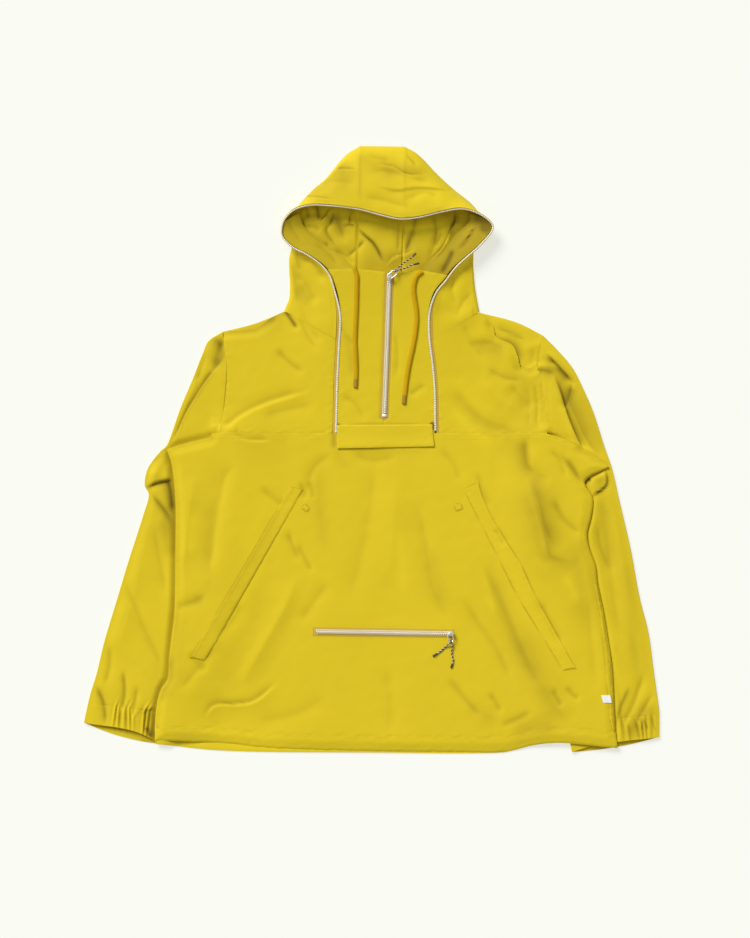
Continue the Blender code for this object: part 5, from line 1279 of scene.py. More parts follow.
hoodFloorFolds = [      # folds of the hood's back, seen through the opening
    (-2.4, 5, 1.4, 7, 2, [(-25, 350), (-33, 343), (-35, 334), (-32, 326)]),
    (0.8, 6, -2.0, 5, 2, [(-45, 327), (-33, 328), (-23, 325)]),
    (1.4, 14, -2.2, 6, 2, [(-25, 326), (-9, 310), (1, 301), (9, 288), (16, 270)]),
    (-2.2, 5, -2.2, 7, 2, [(-10, 307), (-26, 291), (-39, 280)]),
    (-1.6, 5, 2, [(-58, 292), (-38, 281), (-22, 268)]),
    (-2.8, 6, -2.8, 9, 3, [(-55, 350), (-51, 331), (-45, 314), (-38, 298)]),
    (-1.4, 3, 2, [(36, 336), (37, 311), (36, 285)]),
    (-1.1, 3, 2, [(45, 336), (45, 317), (44, 297)]),
    (-3.0, 6, -3.0, 8, 3, [(65, 346), (58, 320), (52, 301), (45, 281)]),
    (-1.6, 6, 1.6, 7, 2.5, [(19, 269), (29, 279), (39, 283), (51, 286), (64, 294)]),
    (-2.8, 7, 3, [(84, 346), (90, 326), (91, 308), (87, 291), (78, 270)]),
    (2.6, 6, -2.6, 6, 2.5, [(120, 350), (119, 331), (113, 320), (107, 305), (99, 292), (87, 279), (70, 260)]),
    (1.6, 8, 3, [(100, 346), (109, 331), (112, 320), (106, 302)]),
    (-1.6, 3, 2, [(102, 317), (97, 307), (90, 294)]),
    (1.8, 8, -2.6, 6, 2, [(145, 336), (135, 318), (126, 305), (119, 291), (109, 273)]),
    (-2.8, 4, 2, [(-110, 346), (-104, 328), (-100, 315)]),
    (-2.4, 6, 3, [(-97, 356), (-96, 346), (-93, 336)]),
    (-2.4, 6, 2.0, 7, 3, [(-83, 356), (-81, 344), (-80, 333)]),
    (2.2, 7, -2.4, 5, 2.5, [(-61, 353), (-68, 341), (-77, 330)]),
    (-3.0, 4, 2, [(-57, 344), (-61, 330), (-67, 320), (-64, 310), (-54, 294)]),
    (-1.8, 6, 3, [(-100, 326), (-86, 324), (-74, 318)]),
    (-1.8, 4, 2, [(-115, 331), (-106, 324), (-103, 320)]),
    (-1.8, 4, 2, [(-75, 279), (-68, 294), (-65, 304)]),
    (-2.0, 7, 3, [(-119, 344), (-123, 328), (-119, 311)]),
    (-1.6, 4, 2, [(-94, 317), (-90, 305), (-84, 295)]),
]
# painted shade in the folds of the hood's back and under its rim, and painted highlights where the rim's real shade
# falls too deep
hoodFloorPaintedTone = [
    (0.6, 3, 2, [(-110, 344), (-104, 328), (-100, 315)]),
    (0.8, 5, 3, [(-99, 357), (-96, 347), (-93, 334)]),
    (0.8, 6, 0.8, 5, 3, [(-83, 359), (-81, 344), (-80, 333)]),
    (0.9, 3.5, 2, [(-55, 346), (-59, 336), (-64, 326)]),
    (0.7, 6, 0.7, 9, 3, [(-52, 353), (-49, 334), (-42, 308)]),
    (0.35, 3, 2, [(-64, 326), (-67, 318), (-64, 310), (-51, 291)]),
    (1.0, 2.4, 2, [(-25, 326), (-9, 310), (1, 301), (9, 288), (16, 270)]),
    (0.9, 2.2, 2, [(-10, 307), (-26, 291), (-39, 280)]),
    (0.5, 2.6, 0.5, 4, 2, [(-25, 350), (-33, 343), (-35, 334), (-32, 326)]),
    (1.0, 4, 1.0, 5, 3, [(65, 349), (59, 323), (52, 301), (45, 281)]),
    (0.7, 5, 3, [(84, 347), (90, 328), (91, 311), (87, 291)]),
    (1.0, 3.5, 2, [(120, 350), (119, 334), (113, 318), (109, 305)]),
    (0.5, 2.6, 2, [(109, 305), (99, 292), (87, 279), (70, 260)]),
    (0.5, 3, 2, [(145, 336), (135, 318), (126, 305), (119, 291), (109, 270)]),
    (-0.8, 11, 4, [(33, 321), (74, 323), (115, 328)]),
    (-0.3, 7, 4, [(-70, 340), (-26, 340), (17, 331)]),
    (-0.8, 9, 4, [(-120, 340), (-100, 346), (-77, 346)]),
    (-0.65, 12, 4, [(-123, 337), (-80, 347), (-33, 343), (16, 330), (46, 321), (83, 326), (120, 331)]),
    (0.35, 2, 2, [(36, 333), (37, 311), (36, 285)]),
    (0.45, 30, 4, [(-106, 320), (-74, 299), (-33, 273)]),
    (0.45, 30, 4, [(-33, 273), (25, 273), (97, 282)]),
    (0.5, 24, 4, [(161, 328), (126, 297), (83, 262)]),
]
crownFolds = [
    (-3.2, 9, 3, [(-10, 398), (16, 405), (39, 399), (62, 392), (94, 386)]),
    (0.9, 8, -1.3, 8, 3, [(1, 382), (33, 375), (68, 379), (117, 375)]),
    (-2.8, 6, 1.2, 8, 2.5, [(36, 440), (48, 427), (64, 408)]),
    (-2.2, 5, 1.4, 8, 2.5, [(-62, 408), (-45, 407), (-22, 405)]),
    (-2.4, 5, 1.2, 8, 2.5, [(-115, 368), (-86, 366), (-54, 360)]),
    (-1.8, 8, 3, [(-106, 370), (-62, 389), (-16, 384)]),
    (-2.0, 7, 3, [(100, 362), (74, 372), (42, 359)]),
    (-2.0, 7, 3, [(-16, 366), (16, 360), (57, 349)]),
    (-2.0, 6, 1.2, 9, 3, [(-1, 414), (28, 410), (51, 398), (80, 398)]),
    (-1.8, 5, 3, [(97, 410), (106, 392), (120, 375)]),
    (-1.6, 6, 3, [(-7, 436), (4, 424), (28, 418)]),
    (-2.8, 6, -2.8, 8, 3, [(-109, 279), (-88, 270), (-68, 244)]),
    (-2.2, 9, 4, [(-117, 259), (-97, 241), (-80, 210)]),
    (-1.8, 8, 4, [(120, 265), (115, 233), (123, 201)]),
    (-2.2, 7, 3, [(144, 273), (126, 256), (109, 227)]),
    (-1.6, 7, 4, [(146, 230), (129, 212), (120, 186)]),
]
# painted shade on the crown and beside the zip at the neck, and a painted highlight where the rim's shadow falls on the
# right neck
crownPaintedTone = [
    (0.25, 2, 2, [(-19, 442), (-19, 398), (-19, 355)]),
    (0.2, 14, 4, [(-42, 433), (-45, 399), (-39, 363)]),
    (0.45, 26, 4, [(-30, 424), (-62, 392), (-103, 357)]),
    (0.35, 12, 4, [(4, 398), (45, 404), (88, 398)]),
    (0.22, 2, 2, [(46, 436), (46, 389), (46, 340)]),
    (0.5, 9, 4, [(-119, 279), (-117, 241), (-106, 212)]),
    (0.35, 14, 4, [(-106, 247), (-100, 227), (-88, 210)]),
    (-0.5, 15, 4, [(149, 288), (126, 262), (107, 233), (94, 201)]),
    (0.3, 24, 4, [(-30, 433), (-1, 414), (39, 399)]),
    (0.45, 4, 0.45, 8, 3, [(-115, 295), (-94, 285), (-74, 268), (-62, 244)]),
    (0.2, 3, 0.2, 5, 3, [(144, 288), (120, 268), (106, 247), (97, 224)]),
    (0.5, 5, 3, [(-112, 291), (-109, 273), (-106, 259)]),
]


hood = {"floor": 96, "rise": 56, "sections": 130, "pitchCentre": 44, "lift": 3.2, "keepApart": 0.04}
floorShares, riseShares = np.linspace(0, 1, hood["floor"]), np.linspace(0, 1, hood["rise"])
surfaceWeight = np.concatenate([ease(floorShares[:-1] / 0.06) * ease((1 - floorShares[:-1]) / 0.12),
                                np.zeros(hood["rise"])])
crownWeight = np.concatenate([np.zeros(hood["floor"] - 1),
                              ease((riseShares - 0.14) / 0.12) * ease((1.02 - riseShares) / 0.12)])


def hoodSection(rim, fold, end, sag):
    # from the seam along the surface, round the fold and up to the rim
    rim = np.array(rim, float)
    fold, end = np.array((*fold, 0), float), np.array((*end, 0), float)
    inward = (end - fold) / np.linalg.norm(end - fold)
    near = fold + min(5.0, 0.6 * np.linalg.norm(end - fold)) * inward
    floor = end + floorShares[:, None] * (near - end)
    flat = rim - fold
    flat[2] = 0
    base = 2 * layers["bend"]
    t = np.linspace(0.05, 1, 20)
    up = (1 - sag) * (1 - (1 - t) ** 2.2) + sag * t ** 1.8
    rise = fold + t[:, None] * flat
    rise[:, 2] = base + (rim[2] - base) * up
    side = fold + np.array((0, 0, layers["bend"])) - 0.4 * inward
    return np.vstack([floor[:-1], smooth(np.vstack([floor[-1], side, rise]), hood["rise"])])


def hoodFinish(name, sections, toNeck=False):
    points = np.array(sections)
    x, y = points[..., 0], points[..., 1]
    lift = hood["lift"] + creases(x, y, hoodFloorFolds) + 0.4 * waves(x, y, "hoodFloor")
    lift = 0.5 * (lift + np.sqrt(lift ** 2 + 0.4)) * ease((y - 190) / 50)
    dent = creases(x, y, crownFolds) + 0.35 * waves(x, y, "crown") + 0.12 * waves(x, y, "crownFine")
    z = points[..., 2] + lift * surfaceWeight + dent * crownWeight
    points[..., 2] = np.where(surfaceWeight > 0, np.maximum(z, 0), z)
    if toNeck:      # its last sections meet the yoke's surface at the neck seam
        count = len(points)
        share = ease((np.arange(count) - count + 16) / 15)[:, None] * ease((crownWeight - 0.3) / 0.5)
        points[..., 2] += share * (frontHeight(x, y) - points[..., 2])
        step = points[-1, :, :2] - points[-2, :, :2]
        points[-1, :, :2] += 0.5 * crownWeight[..., None] * step / (np.linalg.norm(step, axis=1)[:, None] + 0.01)
    # painted shade in the crown's and the floor's hollows and along their rows, with painted highlights where rows are
    # negative
    paintedShade = (cavityShade(points[..., 2], 16, 3.0) + creases(x, y, crownPaintedTone)) * crownWeight
    paintedShade += (cavityShade(points[..., 2], 12, 2.4) + creases(x, y, hoodFloorPaintedTone)) * surfaceWeight
    if facing(points, 1, 0)[2] > 0:      # the outer side looks down where the hood lies on the surface
        points, paintedShade = points[::-1], paintedShade[::-1]
    return fromPoints(name, points, paintedShade=paintedShade)


def hoodSide(name, rows, top, foot, side):
    sections = []
    for k, (rx, ry, rz, fx, fy, endY, sag) in enumerate(smooth(rows, hood["sections"])):
        shift = side * 0.05 * max(0, 1 - k)
        seamX = np.interp(endY, (foot[1], top[1]), (foot[0], top[0]))
        sections.append(hoodSection((rx + shift, ry, rz), (fx + shift, fy), (seamX + side * hood["keepApart"], endY),
                                    np.clip(sag, 0, 1)))
    return hoodFinish(name, sections, True)


hoodLeftCloth = hoodSide("hoodLeftCloth", hoodLeftRows, crownLeft, hoodFloorLeft, -1)
hoodRightCloth = hoodSide("hoodRightCloth", hoodRightRows, crownRight, hoodFloorRight, 1)
rimBetween = [row[:3] for row in hoodZip if crownLeft[0] < row[0] < crownRight[0]]
crownRim = smooth([hoodLeftRows[0][:3]] + rimBetween + [hoodRightRows[0][:3]], hood["pitchCentre"])
sections = []
for t, rim in zip(np.linspace(0, 1, hood["pitchCentre"]), crownRim):
    keep = hood["keepApart"] * (1 - 2 * t)
    fold = (crownLeft[0] + t * (crownRight[0] - crownLeft[0]) + keep, crownLeft[1] + t * (crownRight[1] - crownLeft[1]))
    end = (hoodFloorLeft[0] + t * (hoodFloorRight[0] - hoodFloorLeft[0]) + keep, hoodFloorLeft[1])
    sections.append(hoodSection((rim[0] + keep, rim[1], rim[2]), fold, end, 0.0))
hoodCentreCloth = hoodFinish("hoodCentreCloth", sections)
clothPiece(hoodLeftCloth, "hood_left")
clothPiece(hoodRightCloth, "hood_right")
clothPiece(hoodCentreCloth, "hood_centre")
print("hood laid")


# the zip round the hood, down both sides of the bib: its outer and inner edges

zipWidth = 10.0


def zipEdges(count):
    legs = [[(x, y, float(frontHeight(np.array(x), np.array(y))) - layers["cloth"], zipWidth, 0) for x, y in leg]
            for leg in (zipLegLeft, zipLegRight)]
    fine = smooth(legs[0] + hoodZip + legs[1], count)
    run = unit(np.gradient(fine[:, :2], axis=0))
    inward = np.column_stack([run[:, 1], -run[:, 0]])
    outer = fine[:, :3].copy()
    inner = np.column_stack([outer[:, :2] + fine[:, 3:4] * inward, outer[:, 2] + fine[:, 4]])
    for edge in (outer, inner):     # on the body both edges follow the cloth itself
        low = (edge[:, 1] < 200) & (edge[:, 2] < 14)
        edge[low, 2] = frontHeight(edge[low, 0], edge[low, 1]) - layers["cloth"]
    return outer, inner


zipOuter, zipInner = zipEdges(900)
for edge in (zipOuter, zipInner):
    edge[:, 2] = evened(edge[:, 2], 8)


def stripFrames(outer, inner):
    # the way across a strip in full and of unit length, along it, and up from it
    across = inner - outer
    over, run = unit(across), unit(np.gradient(outer, axis=0))
    up = unit(np.cross(over, run))
    return across, over, run, np.where(up[:, 2:3] < 0, -up, up)


def stripPiece(name, outer, inner, shares, lifts, paint, wall):
    # long strip between two edges: shares of its width, and how far each stands off
    across, _, _, up = stripFrames(outer, inner)
    points = np.stack([outer + s * across + h * up for s, h in zip(shares, lifts)], axis=1)
    if np.dot(facing(points, 0, 0), up[0]) < 0:
        points = points[:, ::-1]
    return fromPoints(name, points, paint, wall)


hoodTape = stripPiece("hoodTape", zipOuter, zipInner, (-0.04, 0.06, 0.2, 0.34, 0.5, 0.62, 0.72),
                      (0.05, 0.15, 0.25, 0.4, 0.7, 0.85, 0.8), zipTape, 0.5)
onBody(hoodTape, "hood_zip_tape")


def toothShape(name, long, wide, high, paint):
    # one tooth: a rounded block with a raised nose
    piece = added(name, "cube", size=1)
    size = Matrix.Diagonal((wide * mm, long * mm, high * mm, 1))
    piece.data.transform(Matrix.Translation((0, 0, 0.5 * high * mm)) @ size)
    bpy.ops.object.mode_set(mode="EDIT")
    bpy.ops.mesh.select_all(action="SELECT")
    bpy.ops.mesh.bevel(offset=0.22 * long * mm, segments=1, affect="EDGES")
    bpy.ops.object.mode_set(mode="OBJECT")
    return finishPiece(piece, paint, 0, smoothAngle=80)


def scatter(name, shape, places, node=None, body="garment"):
    # copies of one small shape joined into one piece: places = (origin, x direction, y direction, z direction)
    corners = np.array([v.co for v in shape.data.vertices])
    placed = [corners @ np.array(turn) + np.array(origin) * mm for origin, *turn in places]
    faces = [tuple(v + k * len(corners) for v in p.vertices) for k in range(len(places)) for p in shape.data.polygons]
    mesh = bpy.data.meshes.new(name)
    mesh.from_pydata([tuple(v) for v in np.vstack(placed)], [], faces)
    for material in shape.data.materials:
        mesh.materials.append(material)
    piece = bpy.data.objects.new(name, mesh)
    bpy.context.scene.collection.objects.link(piece)
    pick(piece)
    bpy.ops.object.shade_smooth_by_angle(angle=math.radians(60))
    bpy.data.objects.remove(shape)
    return onBody(piece, node, body)


teeth = {"pitch": 2.5, "long": 1.95, "openWide": 3.6, "closedLong": 1.25, "closedWide": 3.8,
         "high": 1.7, "row": 6.6, "sunk": 0.3}


def openTeeth():
    # one half of the zip: a tooth every pitch along the tape's inner edge
    frames = (zipOuter, *stripFrames(zipOuter, zipInner)[:3])
    length = runOf(zipInner)
    places = []
    for at in np.arange(2.0, length[-1] - 4, teeth["pitch"]):
        o, a, u, r = (pointsAt(frame, length, [at])[0] for frame in frames)
        u, r = u / np.linalg.norm(u), r / np.linalg.norm(r)
        n = np.cross(u, r)
        n = n / np.linalg.norm(n) * (1 if n[2] > 0 else -1)
        rolled = float(ease((o[1] - 190) / 70))      # the tape rolls in along the hood, and less of a tooth shows
        places.append((o + (0.85 - 0.5 * rolled) * a + (0.75 - 0.5 * rolled) * n, (0.8 - 0.2 * rolled) * u, r, n))
    shape = toothShape("hoodTooth", teeth["long"], teeth["openWide"], teeth["high"], zipMetal)
    return scatter("hoodTeeth", shape, places, "hood_zip_teeth")


openTeeth()


# bib, chest zip and the facings inside the opening

collar = {"left": (-20, 262), "right": (67, 261), "heights": (262, 254), "top": (24, 258), "middle": (20, 146),
          "foot": (15.4, 27), "tape": 14.0, "stop": 53}
middleIndex = len(zipInner) // 2
legInLeft = zipInner[:middleIndex][zipInner[:middleIndex, 1] <= collar["heights"][0] + 0.2][:, :2]
legInRight = zipInner[middleIndex:][zipInner[middleIndex:, 1] <= collar["heights"][1] + 0.2][::-1, :2]
chestLine = smooth([collar["foot"], collar["middle"], collar["top"]], 60)
halfTape = np.array([0.5 * collar["tape"], 0])
chestLeft, chestRight = chestLine - halfTape, chestLine + halfTape
bibFoot = [chestLine[0], (15.7, 43.0)]      # below the zip the bibs meet
besideLeft, besideRight = (np.vstack([bibFoot, side[side[:, 1] > 43.6]]) for side in (chestLeft, chestRight))
bibLeftCloth = panel("bibLeftCloth", ([legInLeft[0], bibFoot[0]], besideLeft,
                                      [legInLeft[-1], collar["left"], chestLeft[-1]], legInLeft), 2.0, frontHeight,
                     (0, 0.35, 0.25, 0.1), puckers=0.12, cavityShading=(30, 3.0), dark=frontPaintedShade)
bibRightCloth = panel("bibRightCloth", ([bibFoot[0], legInRight[0]], legInRight,
                                        [chestRight[-1], collar["right"], legInRight[-1]], besideRight), 2.0,
                      frontHeight, (0, 0.1, 0.25, 0.35), puckers=0.12, cavityShading=(30, 3.0), dark=frontPaintedShade)
chestTape = panel("chestTape", ([chestLeft[0], chestRight[0]], chestRight, [chestLeft[-1], chestRight[-1]], chestLeft),
                  2.0, lambda x, y: frontHeight(x, y) - 0.5 - 1.0 * ease((45 - y) / 3), (0, 0, 0.2, 0), zipTape,
                  wall=0.5, cavityShading=(1, 9.0))
onBody(chestTape, "chest_zip_tape")


def facingLoft(name, edge, which):
    # strip from the zip's inner edge, as far as it reaches, down into the hood
    made = facings[which]
    edge = pointsAt(edge, runOf(edge), np.linspace(0, made["reach"], 60))
    low = smooth([(*place, z) for place, z in zip(made["line"], made["heights"])], len(edge))
    shares = np.concatenate([[0.03, 0.06], np.linspace(0.1, 0.96, 13), [0.98, 1.0]])
    rows = []
    for k, (a, b) in enumerate(zip(edge, low)):
        across = a + shares[:, None] * (b - a)
        pucker = facings["puckers"] * math.sin(k * 0.33) * np.sin(math.pi * shares) ** 2
        across[:, 2] += creases(across[:, 0], across[:, 1], facingFolds) + 1.1 * np.sin(math.pi * shares) + pucker
        rows.append(across)
    points = np.array(rows)
    if facing(points, 5, 5)[2] < 0:
        points = points[::-1]
    # painted shade in the facing's hollows, its even painted shade and along its rows
    paintedShade = cavityShade(points[..., 2], 10, 3.0) + made["dark"] + creases(points[..., 0], points[..., 1], facingPaintedShade)
    return fromPoints(name, points, paintedShade=paintedShade)


facingFolds = [
    (-2.6, 5, -2.6, 6, 3, [(117, 294), (110, 276), (97, 253)]),
    (-2.0, 5, 1.2, 7, 3, [(149, 328), (135, 305), (120, 288)]),
    (-1.6, 6, 3, [(-123, 340), (-117, 320), (-100, 299)]),
    (-1.8, 6, 3, [(-88, 299), (-68, 288), (-48, 265)]),
]
# painted shade in the facings' folds and their deep corner
facingPaintedShade = [
    (0.8, 3, 2, [(117, 294), (110, 276), (97, 253)]),
    (0.9, 12, 3, [(141, 343), (164, 331), (155, 311)]),
    (0.3, 6, 3, [(-129, 331), (-120, 346), (-106, 355)]),
]
# each facing also takes an even painted shade, lying under the hood's rim
facings = {"puckers": 0.3,
           "left": {"line": [(-24, 262), (-29, 266), (-48, 283), (-70, 298), (-98, 322), (-107, 343)],
                    "heights": [19, 16, 11, 9, 9, 16], "reach": 103, "dark": 0.5},
           "right": {"line": [(72, 260), (80, 272), (97, 283), (119, 312), (138, 330), (140, 342)],
                     "heights": [19, 15, 11, 9, 10, 17], "reach": 112, "dark": 0.8}}
facingLeftCloth = facingLoft("facingLeftCloth", zipInner[len(legInLeft) - 1:middleIndex], "left")
facingRightCloth = facingLoft("facingRightCloth", zipInner[middleIndex:len(zipInner) - len(legInRight) + 1][::-1],
                              "right")


def chestX(y):
    return np.interp(y, chestLine[:, 1], chestLine[:, 0])


def closedTeeth(name, node, line, surface):
    # both halves interlocked: teeth from either side, half a pitch apart
    run = runOf(line)
    shape = toothShape(name + "Shape", teeth["closedLong"], teeth["closedWide"], teeth["high"], zipMetal)
    places = []
    for k, at in enumerate(np.arange(0.8, run[-1], 0.5 * teeth["pitch"])):
        (x, y), (x2, y2) = pointsAt(line, run, [at, at + 1])
        along = np.array((x2 - x, y2 - y, 0.0)) if at + 1 < run[-1] else along
        along /= np.linalg.norm(along)
        across = np.array((along[1], -along[0], 0.0))
        side = 1 if k % 2 else -1
        z = float(surface(np.array(x), np.array(y)))
        origin = np.array((x, y, z)) + side * (0.5 * teeth["row"] - 0.5 * teeth["closedWide"]) * across
        places.append((origin, across, along, np.array((0, 0, 1.0))))
    return scatter(name, shape, places, node)


chestChain = np.array([(chestX(y), y) for y in np.linspace(collar["stop"], collar["top"][1] - 12, 60)])
closedTeeth("chestTeeth", "chest_zip_teeth", chestChain, lambda x, y: frontHeight(x, y) - teeth["sunk"])
for piece, node, cut, area in ((bibLeftCloth, "bib_left", (0.075, 0.245), 0.0150),
                               (bibRightCloth, "bib_right", (0.075, 0.245), 0.0140),
                               (facingLeftCloth, "facing_left", (0.035, 0.125), 0.0033),
                               (facingRightCloth, "facing_right", (0.035, 0.13), 0.0036),
                               (frontCloth, "front_panel", (0.68, 0.45), 0.272),
                               (yokeLeftCloth, "yoke_left", (0.175, 0.185), 0.025),
                               (yokeRightCloth, "yoke_right", (0.165, 0.185), 0.0212),
                               (hemFrontCloth, "hem_front", (0.68, 0.03), 0.0152),
                               (hemBackCloth, "hem_back", (0.68, 0.03), 0.0173)):
    clothPiece(piece, node)
print("bib and facings laid")


# storm flap, pocket welts, tack patches, side strip and label, each lying on the front

flap = {"corners": [(-52, 3), (88.5, 6), (85.5, 38), (-52, 37)], "lift": 1.4}
welts = {"leftOpening": [(-120, -52), (-248, -270), (-265, -299)],
         "leftStitched": [(-101, -56), (-109, -70), (-227, -277), (-243, -304)],
         "rightOpening": [(152, -44), (162, -75), (180, -111), (213, -162), (236, -212), (277, -286), (294, -315)],
         "rightStitched": [(130, -56), (158, -111), (180, -154), (210, -214), (244, -269), (274, -318)], "lift": 0.55}
patches = {"left": [(-98.5, -76), (-91, -83.5), (-95.5, -90), (-105, -83)],
           "right": [(117, -77.5), (127.5, -76), (131, -85), (119, -88.5)]}
sideStrip = {"inner": [(320, -192), (330, -252), (337, -330), (342, -386), (347, -408)], "from": -410, "to": -185}
label = {"corners": [(333, -365), (346, -365), (343, -354), (330, -354)]}


def edgeShadeRows(corners, strength, wide):
    # painted shade along a small piece's own edges
    ring = list(corners)
    return [(strength, wide, 1, [p, q]) for p, q in zip(ring, ring[1:] + ring[:1])]


def liftedEdge(under, opening, lift, width):
    # rests on what is under it and stands up towards its opening edge
    def height(x, y):
        away = abs(fromLine(x, y, opening)[0])
        return under(x, y) + lift * np.exp(-(away / width) ** 2)
    return height


flapUnder = resting([frontCloth, bibLeftCloth, bibRightCloth, chestTape], 1.5, 2.5)


def flapHeight(x, y):
    base = blur(flapUnder(x, y), 10)
    free = liftedEdge(lambda p, q: 0 * p, flap["corners"][:2], flap["lift"], 12)(x, y)
    return base + free + 0.5 * np.sin((x + 52) / 21) * ease((38 - y) / 30)


flapCloth = panel("flapCloth", quad(*flap["corners"]), 2.4, flapHeight, (0.4, 0.4, 0.7, 0.4), wall=1.2,
                  puckers=0.1, cavityShading=(14, 3.0))
clothPiece(flapCloth, "storm_flap")

weltUnder = resting([frontCloth], 0.95, 1.5)
leftSides = ([welts["leftOpening"][-1], welts["leftStitched"][-1]], welts["leftStitched"][::-1],
             [welts["leftOpening"][0], welts["leftStitched"][0]], welts["leftOpening"][::-1])
rightSides = ([welts["rightStitched"][-1], welts["rightOpening"][-1]], smooth(welts["rightOpening"], 80)[::-1],
              [welts["rightStitched"][0], welts["rightOpening"][0]], smooth(welts["rightStitched"], 80)[::-1])
weltLeftCloth = panel("weltLeftCloth", leftSides, 2.1, liftedEdge(weltUnder, welts["leftOpening"], welts["lift"], 5),
                      (0.3, 0.7, 0.2, 0.3), puckers=0.1, cavityShading=(14, 3.0),
                      dark=edgeShadeRows(welts["leftOpening"] + welts["leftStitched"][::-1], 0.7, 1.1))
weltRightCloth = panel("weltRightCloth", rightSides, 2.1,
                       liftedEdge(weltUnder, welts["rightOpening"], welts["lift"], 5),
                       (0.3, 0.3, 0.2, 0.7), puckers=0.1, cavityShading=(14, 3.0),
                       dark=edgeShadeRows(welts["rightOpening"] + welts["rightStitched"][::-1], 0.7, 1.1))
clothPiece(weltLeftCloth, "pocket_welt_left")
clothPiece(weltRightCloth, "pocket_welt_right")

for which, onWelt in (("left", weltLeftCloth), ("right", weltRightCloth)):
    patchTop = resting([frontCloth, onWelt], 0.75, 1.0)
    patch = panel("tackPatch" + which.capitalize(), quad(*patches[which][::-1]), 1.2, patchTop, (0.4,) * 4,
                  wall=0.6, cavityShading=(4, 3.0), dark=edgeShadeRows(patches[which], 0.9, 1.1))
    clothPiece(patch, "tack_patch_" + which)

stripRight = [(x - 1.5, y) for x, y in bodyRight if sideStrip["from"] < y < sideStrip["to"]]
stripLeft = sideStrip["inner"]
stripCloth = panel("stripCloth", ([stripLeft[-1], stripRight[-1]], stripRight[::-1], [stripLeft[0], stripRight[0]],
                                  stripLeft[::-1]), 2.6, resting([frontCloth], 0.55, 0.8), (0.1, 0.3, 0.1, 0.4),
                   wall=0.6, puckers=0.1, cavityShading=(10, 3.0), dark=edgeShadeRows(stripLeft + stripRight[::-1], 0.6, 1.2))
clothPiece(stripCloth, "side_strip")
labelPiece = panel("sideLabel", quad(*label["corners"]), 1.2,
                   lambda x, y: resting([frontCloth, stripCloth], 0.9, 1.0)(x, y) + 0.5 * ease((x - 333) / 12),
                   (0.15,) * 4, labelWeave, wall=0.6, cavityShading=(2, 9.0))
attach(labelPiece, "garment")
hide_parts("side_label")

# low zip pocket

pocketZip = {"left": (-87.5, -262), "length": 205.0, "drop": -3.0, "tape": 12.5}
zipFrom = np.array(pocketZip["left"], float)
zipTo = zipFrom + (pocketZip["length"], pocketZip["drop"])
zipSide = np.array((0, 0.5 * pocketZip["tape"]))
pocketTop = resting([frontCloth], 0.65, 2.0)
pocketTape = panel("pocketTape", quad(zipFrom - zipSide, zipTo - zipSide, zipTo + zipSide, zipFrom + zipSide), 1.8,
                   pocketTop, (0.2,) * 4, zipTape, wall=0.5, cavityShading=(1, 9.0))
onBody(pocketTape, "pocket_zip_tape")
pocketChain = np.array([zipFrom + (5, 0), zipTo - (9, 0)])
closedTeeth("pocketTeeth", "pocket_zip_teeth", sample(pocketChain, np.linspace(0, 1, 60)), pocketTop)

# sliders: a rounded plate that is wider where the teeth part, on a narrower body, with a bail


sliders = {"plates": ((0.0, 1.0, 3.9, 5.1), (0.9, 2.1, 2.4, 3.6), (2.0, 3.0, 4.2, 5.25)), "rim": 0.3,
           "bail": 2.05, "wire": 0.72, "bailUp": 4.8}


def sliderPiece(which, zipTurn):
    # each stands under the axis of its pull
    name, centre = which + "Slider", np.array(pulls[which]["axis"])
    parts = []
    for low, high, wide, long in sliders["plates"]:
        part = added(name + "Plate", "cylinder", vertices=40, radius=1, depth=1)
        for vertex in part.data.vertices:
            x, y, z = vertex.co
            v = math.copysign(abs(y) ** 0.85, y)
            taper = 0.84 + 0.16 * v
            vertex.co = (math.copysign(abs(x) ** 0.75, x) * wide * taper * mm, v * long * mm,
                         (low + (z + 0.5) * (high - low)) * mm)
        rim = part.modifiers.new("rim", "BEVEL")
        rim.width = sliders["rim"] * mm
        rim.segments = 2
        bpy.ops.object.modifier_apply(modifier=rim.name)
        parts.append(finishPiece(part, sliderMetal, 0, smoothAngle=40))
    body = joined(name, parts)
    turned = Matrix.Rotation(math.radians(zipTurn), 4, "Z")
    body.data.transform(Matrix.Translation(Vector((centre - (0, 0, sliders["bailUp"])) * mm)) @ turned)
    a = math.radians(pulls[which]["turn"])
    ahead = np.array((math.cos(a), math.sin(a), 0))
    ring = [centre + sliders["bail"] * (math.cos(t) * ahead + math.sin(t) * np.array((0, 0, 1.0)))
            for t in np.linspace(0, 2 * math.pi, 32, endpoint=False)]
    bail = loopPiece(name + "Bail", ring, sliders["wire"], sliderMetal, 10)
    return onBody(joined(name, [body, bail]), which + "_zip_slider")


sliderPiece("chest", 0)
sliderPiece("pocket", -90)
stop = {"x": 15.7, "y": 50.7, "long": 4.2, "wide": 6.4}
stopShape = toothShape("stopShape", stop["long"], stop["wide"], teeth["high"], zipMetal)
stopTop = float(frontHeight(np.array(stop["x"]), np.array(stop["y"]))) - teeth["sunk"]
stopPlace = np.array((float(chestX(stop["y"])), stop["y"], stopTop))
scatter("chestStop", stopShape, [(stopPlace, *np.eye(3))], "chest_zip_stop")
print("zips, flap and pockets made")


# topstitching: short stitches that lie on the cloth along the seams

sewing = {"pitch": 3.2, "long": 2.3, "wide": 0.5, "high": 0.34, "sunk": 0.08, "steep": 0.8}


def aside(line, away):
    # a line moved sideways, to the left of its run
    line = np.array(line, float)
    run = unit(np.gradient(line, axis=0))
    return line + away * np.column_stack([-run[:, 1], run[:, 0]])


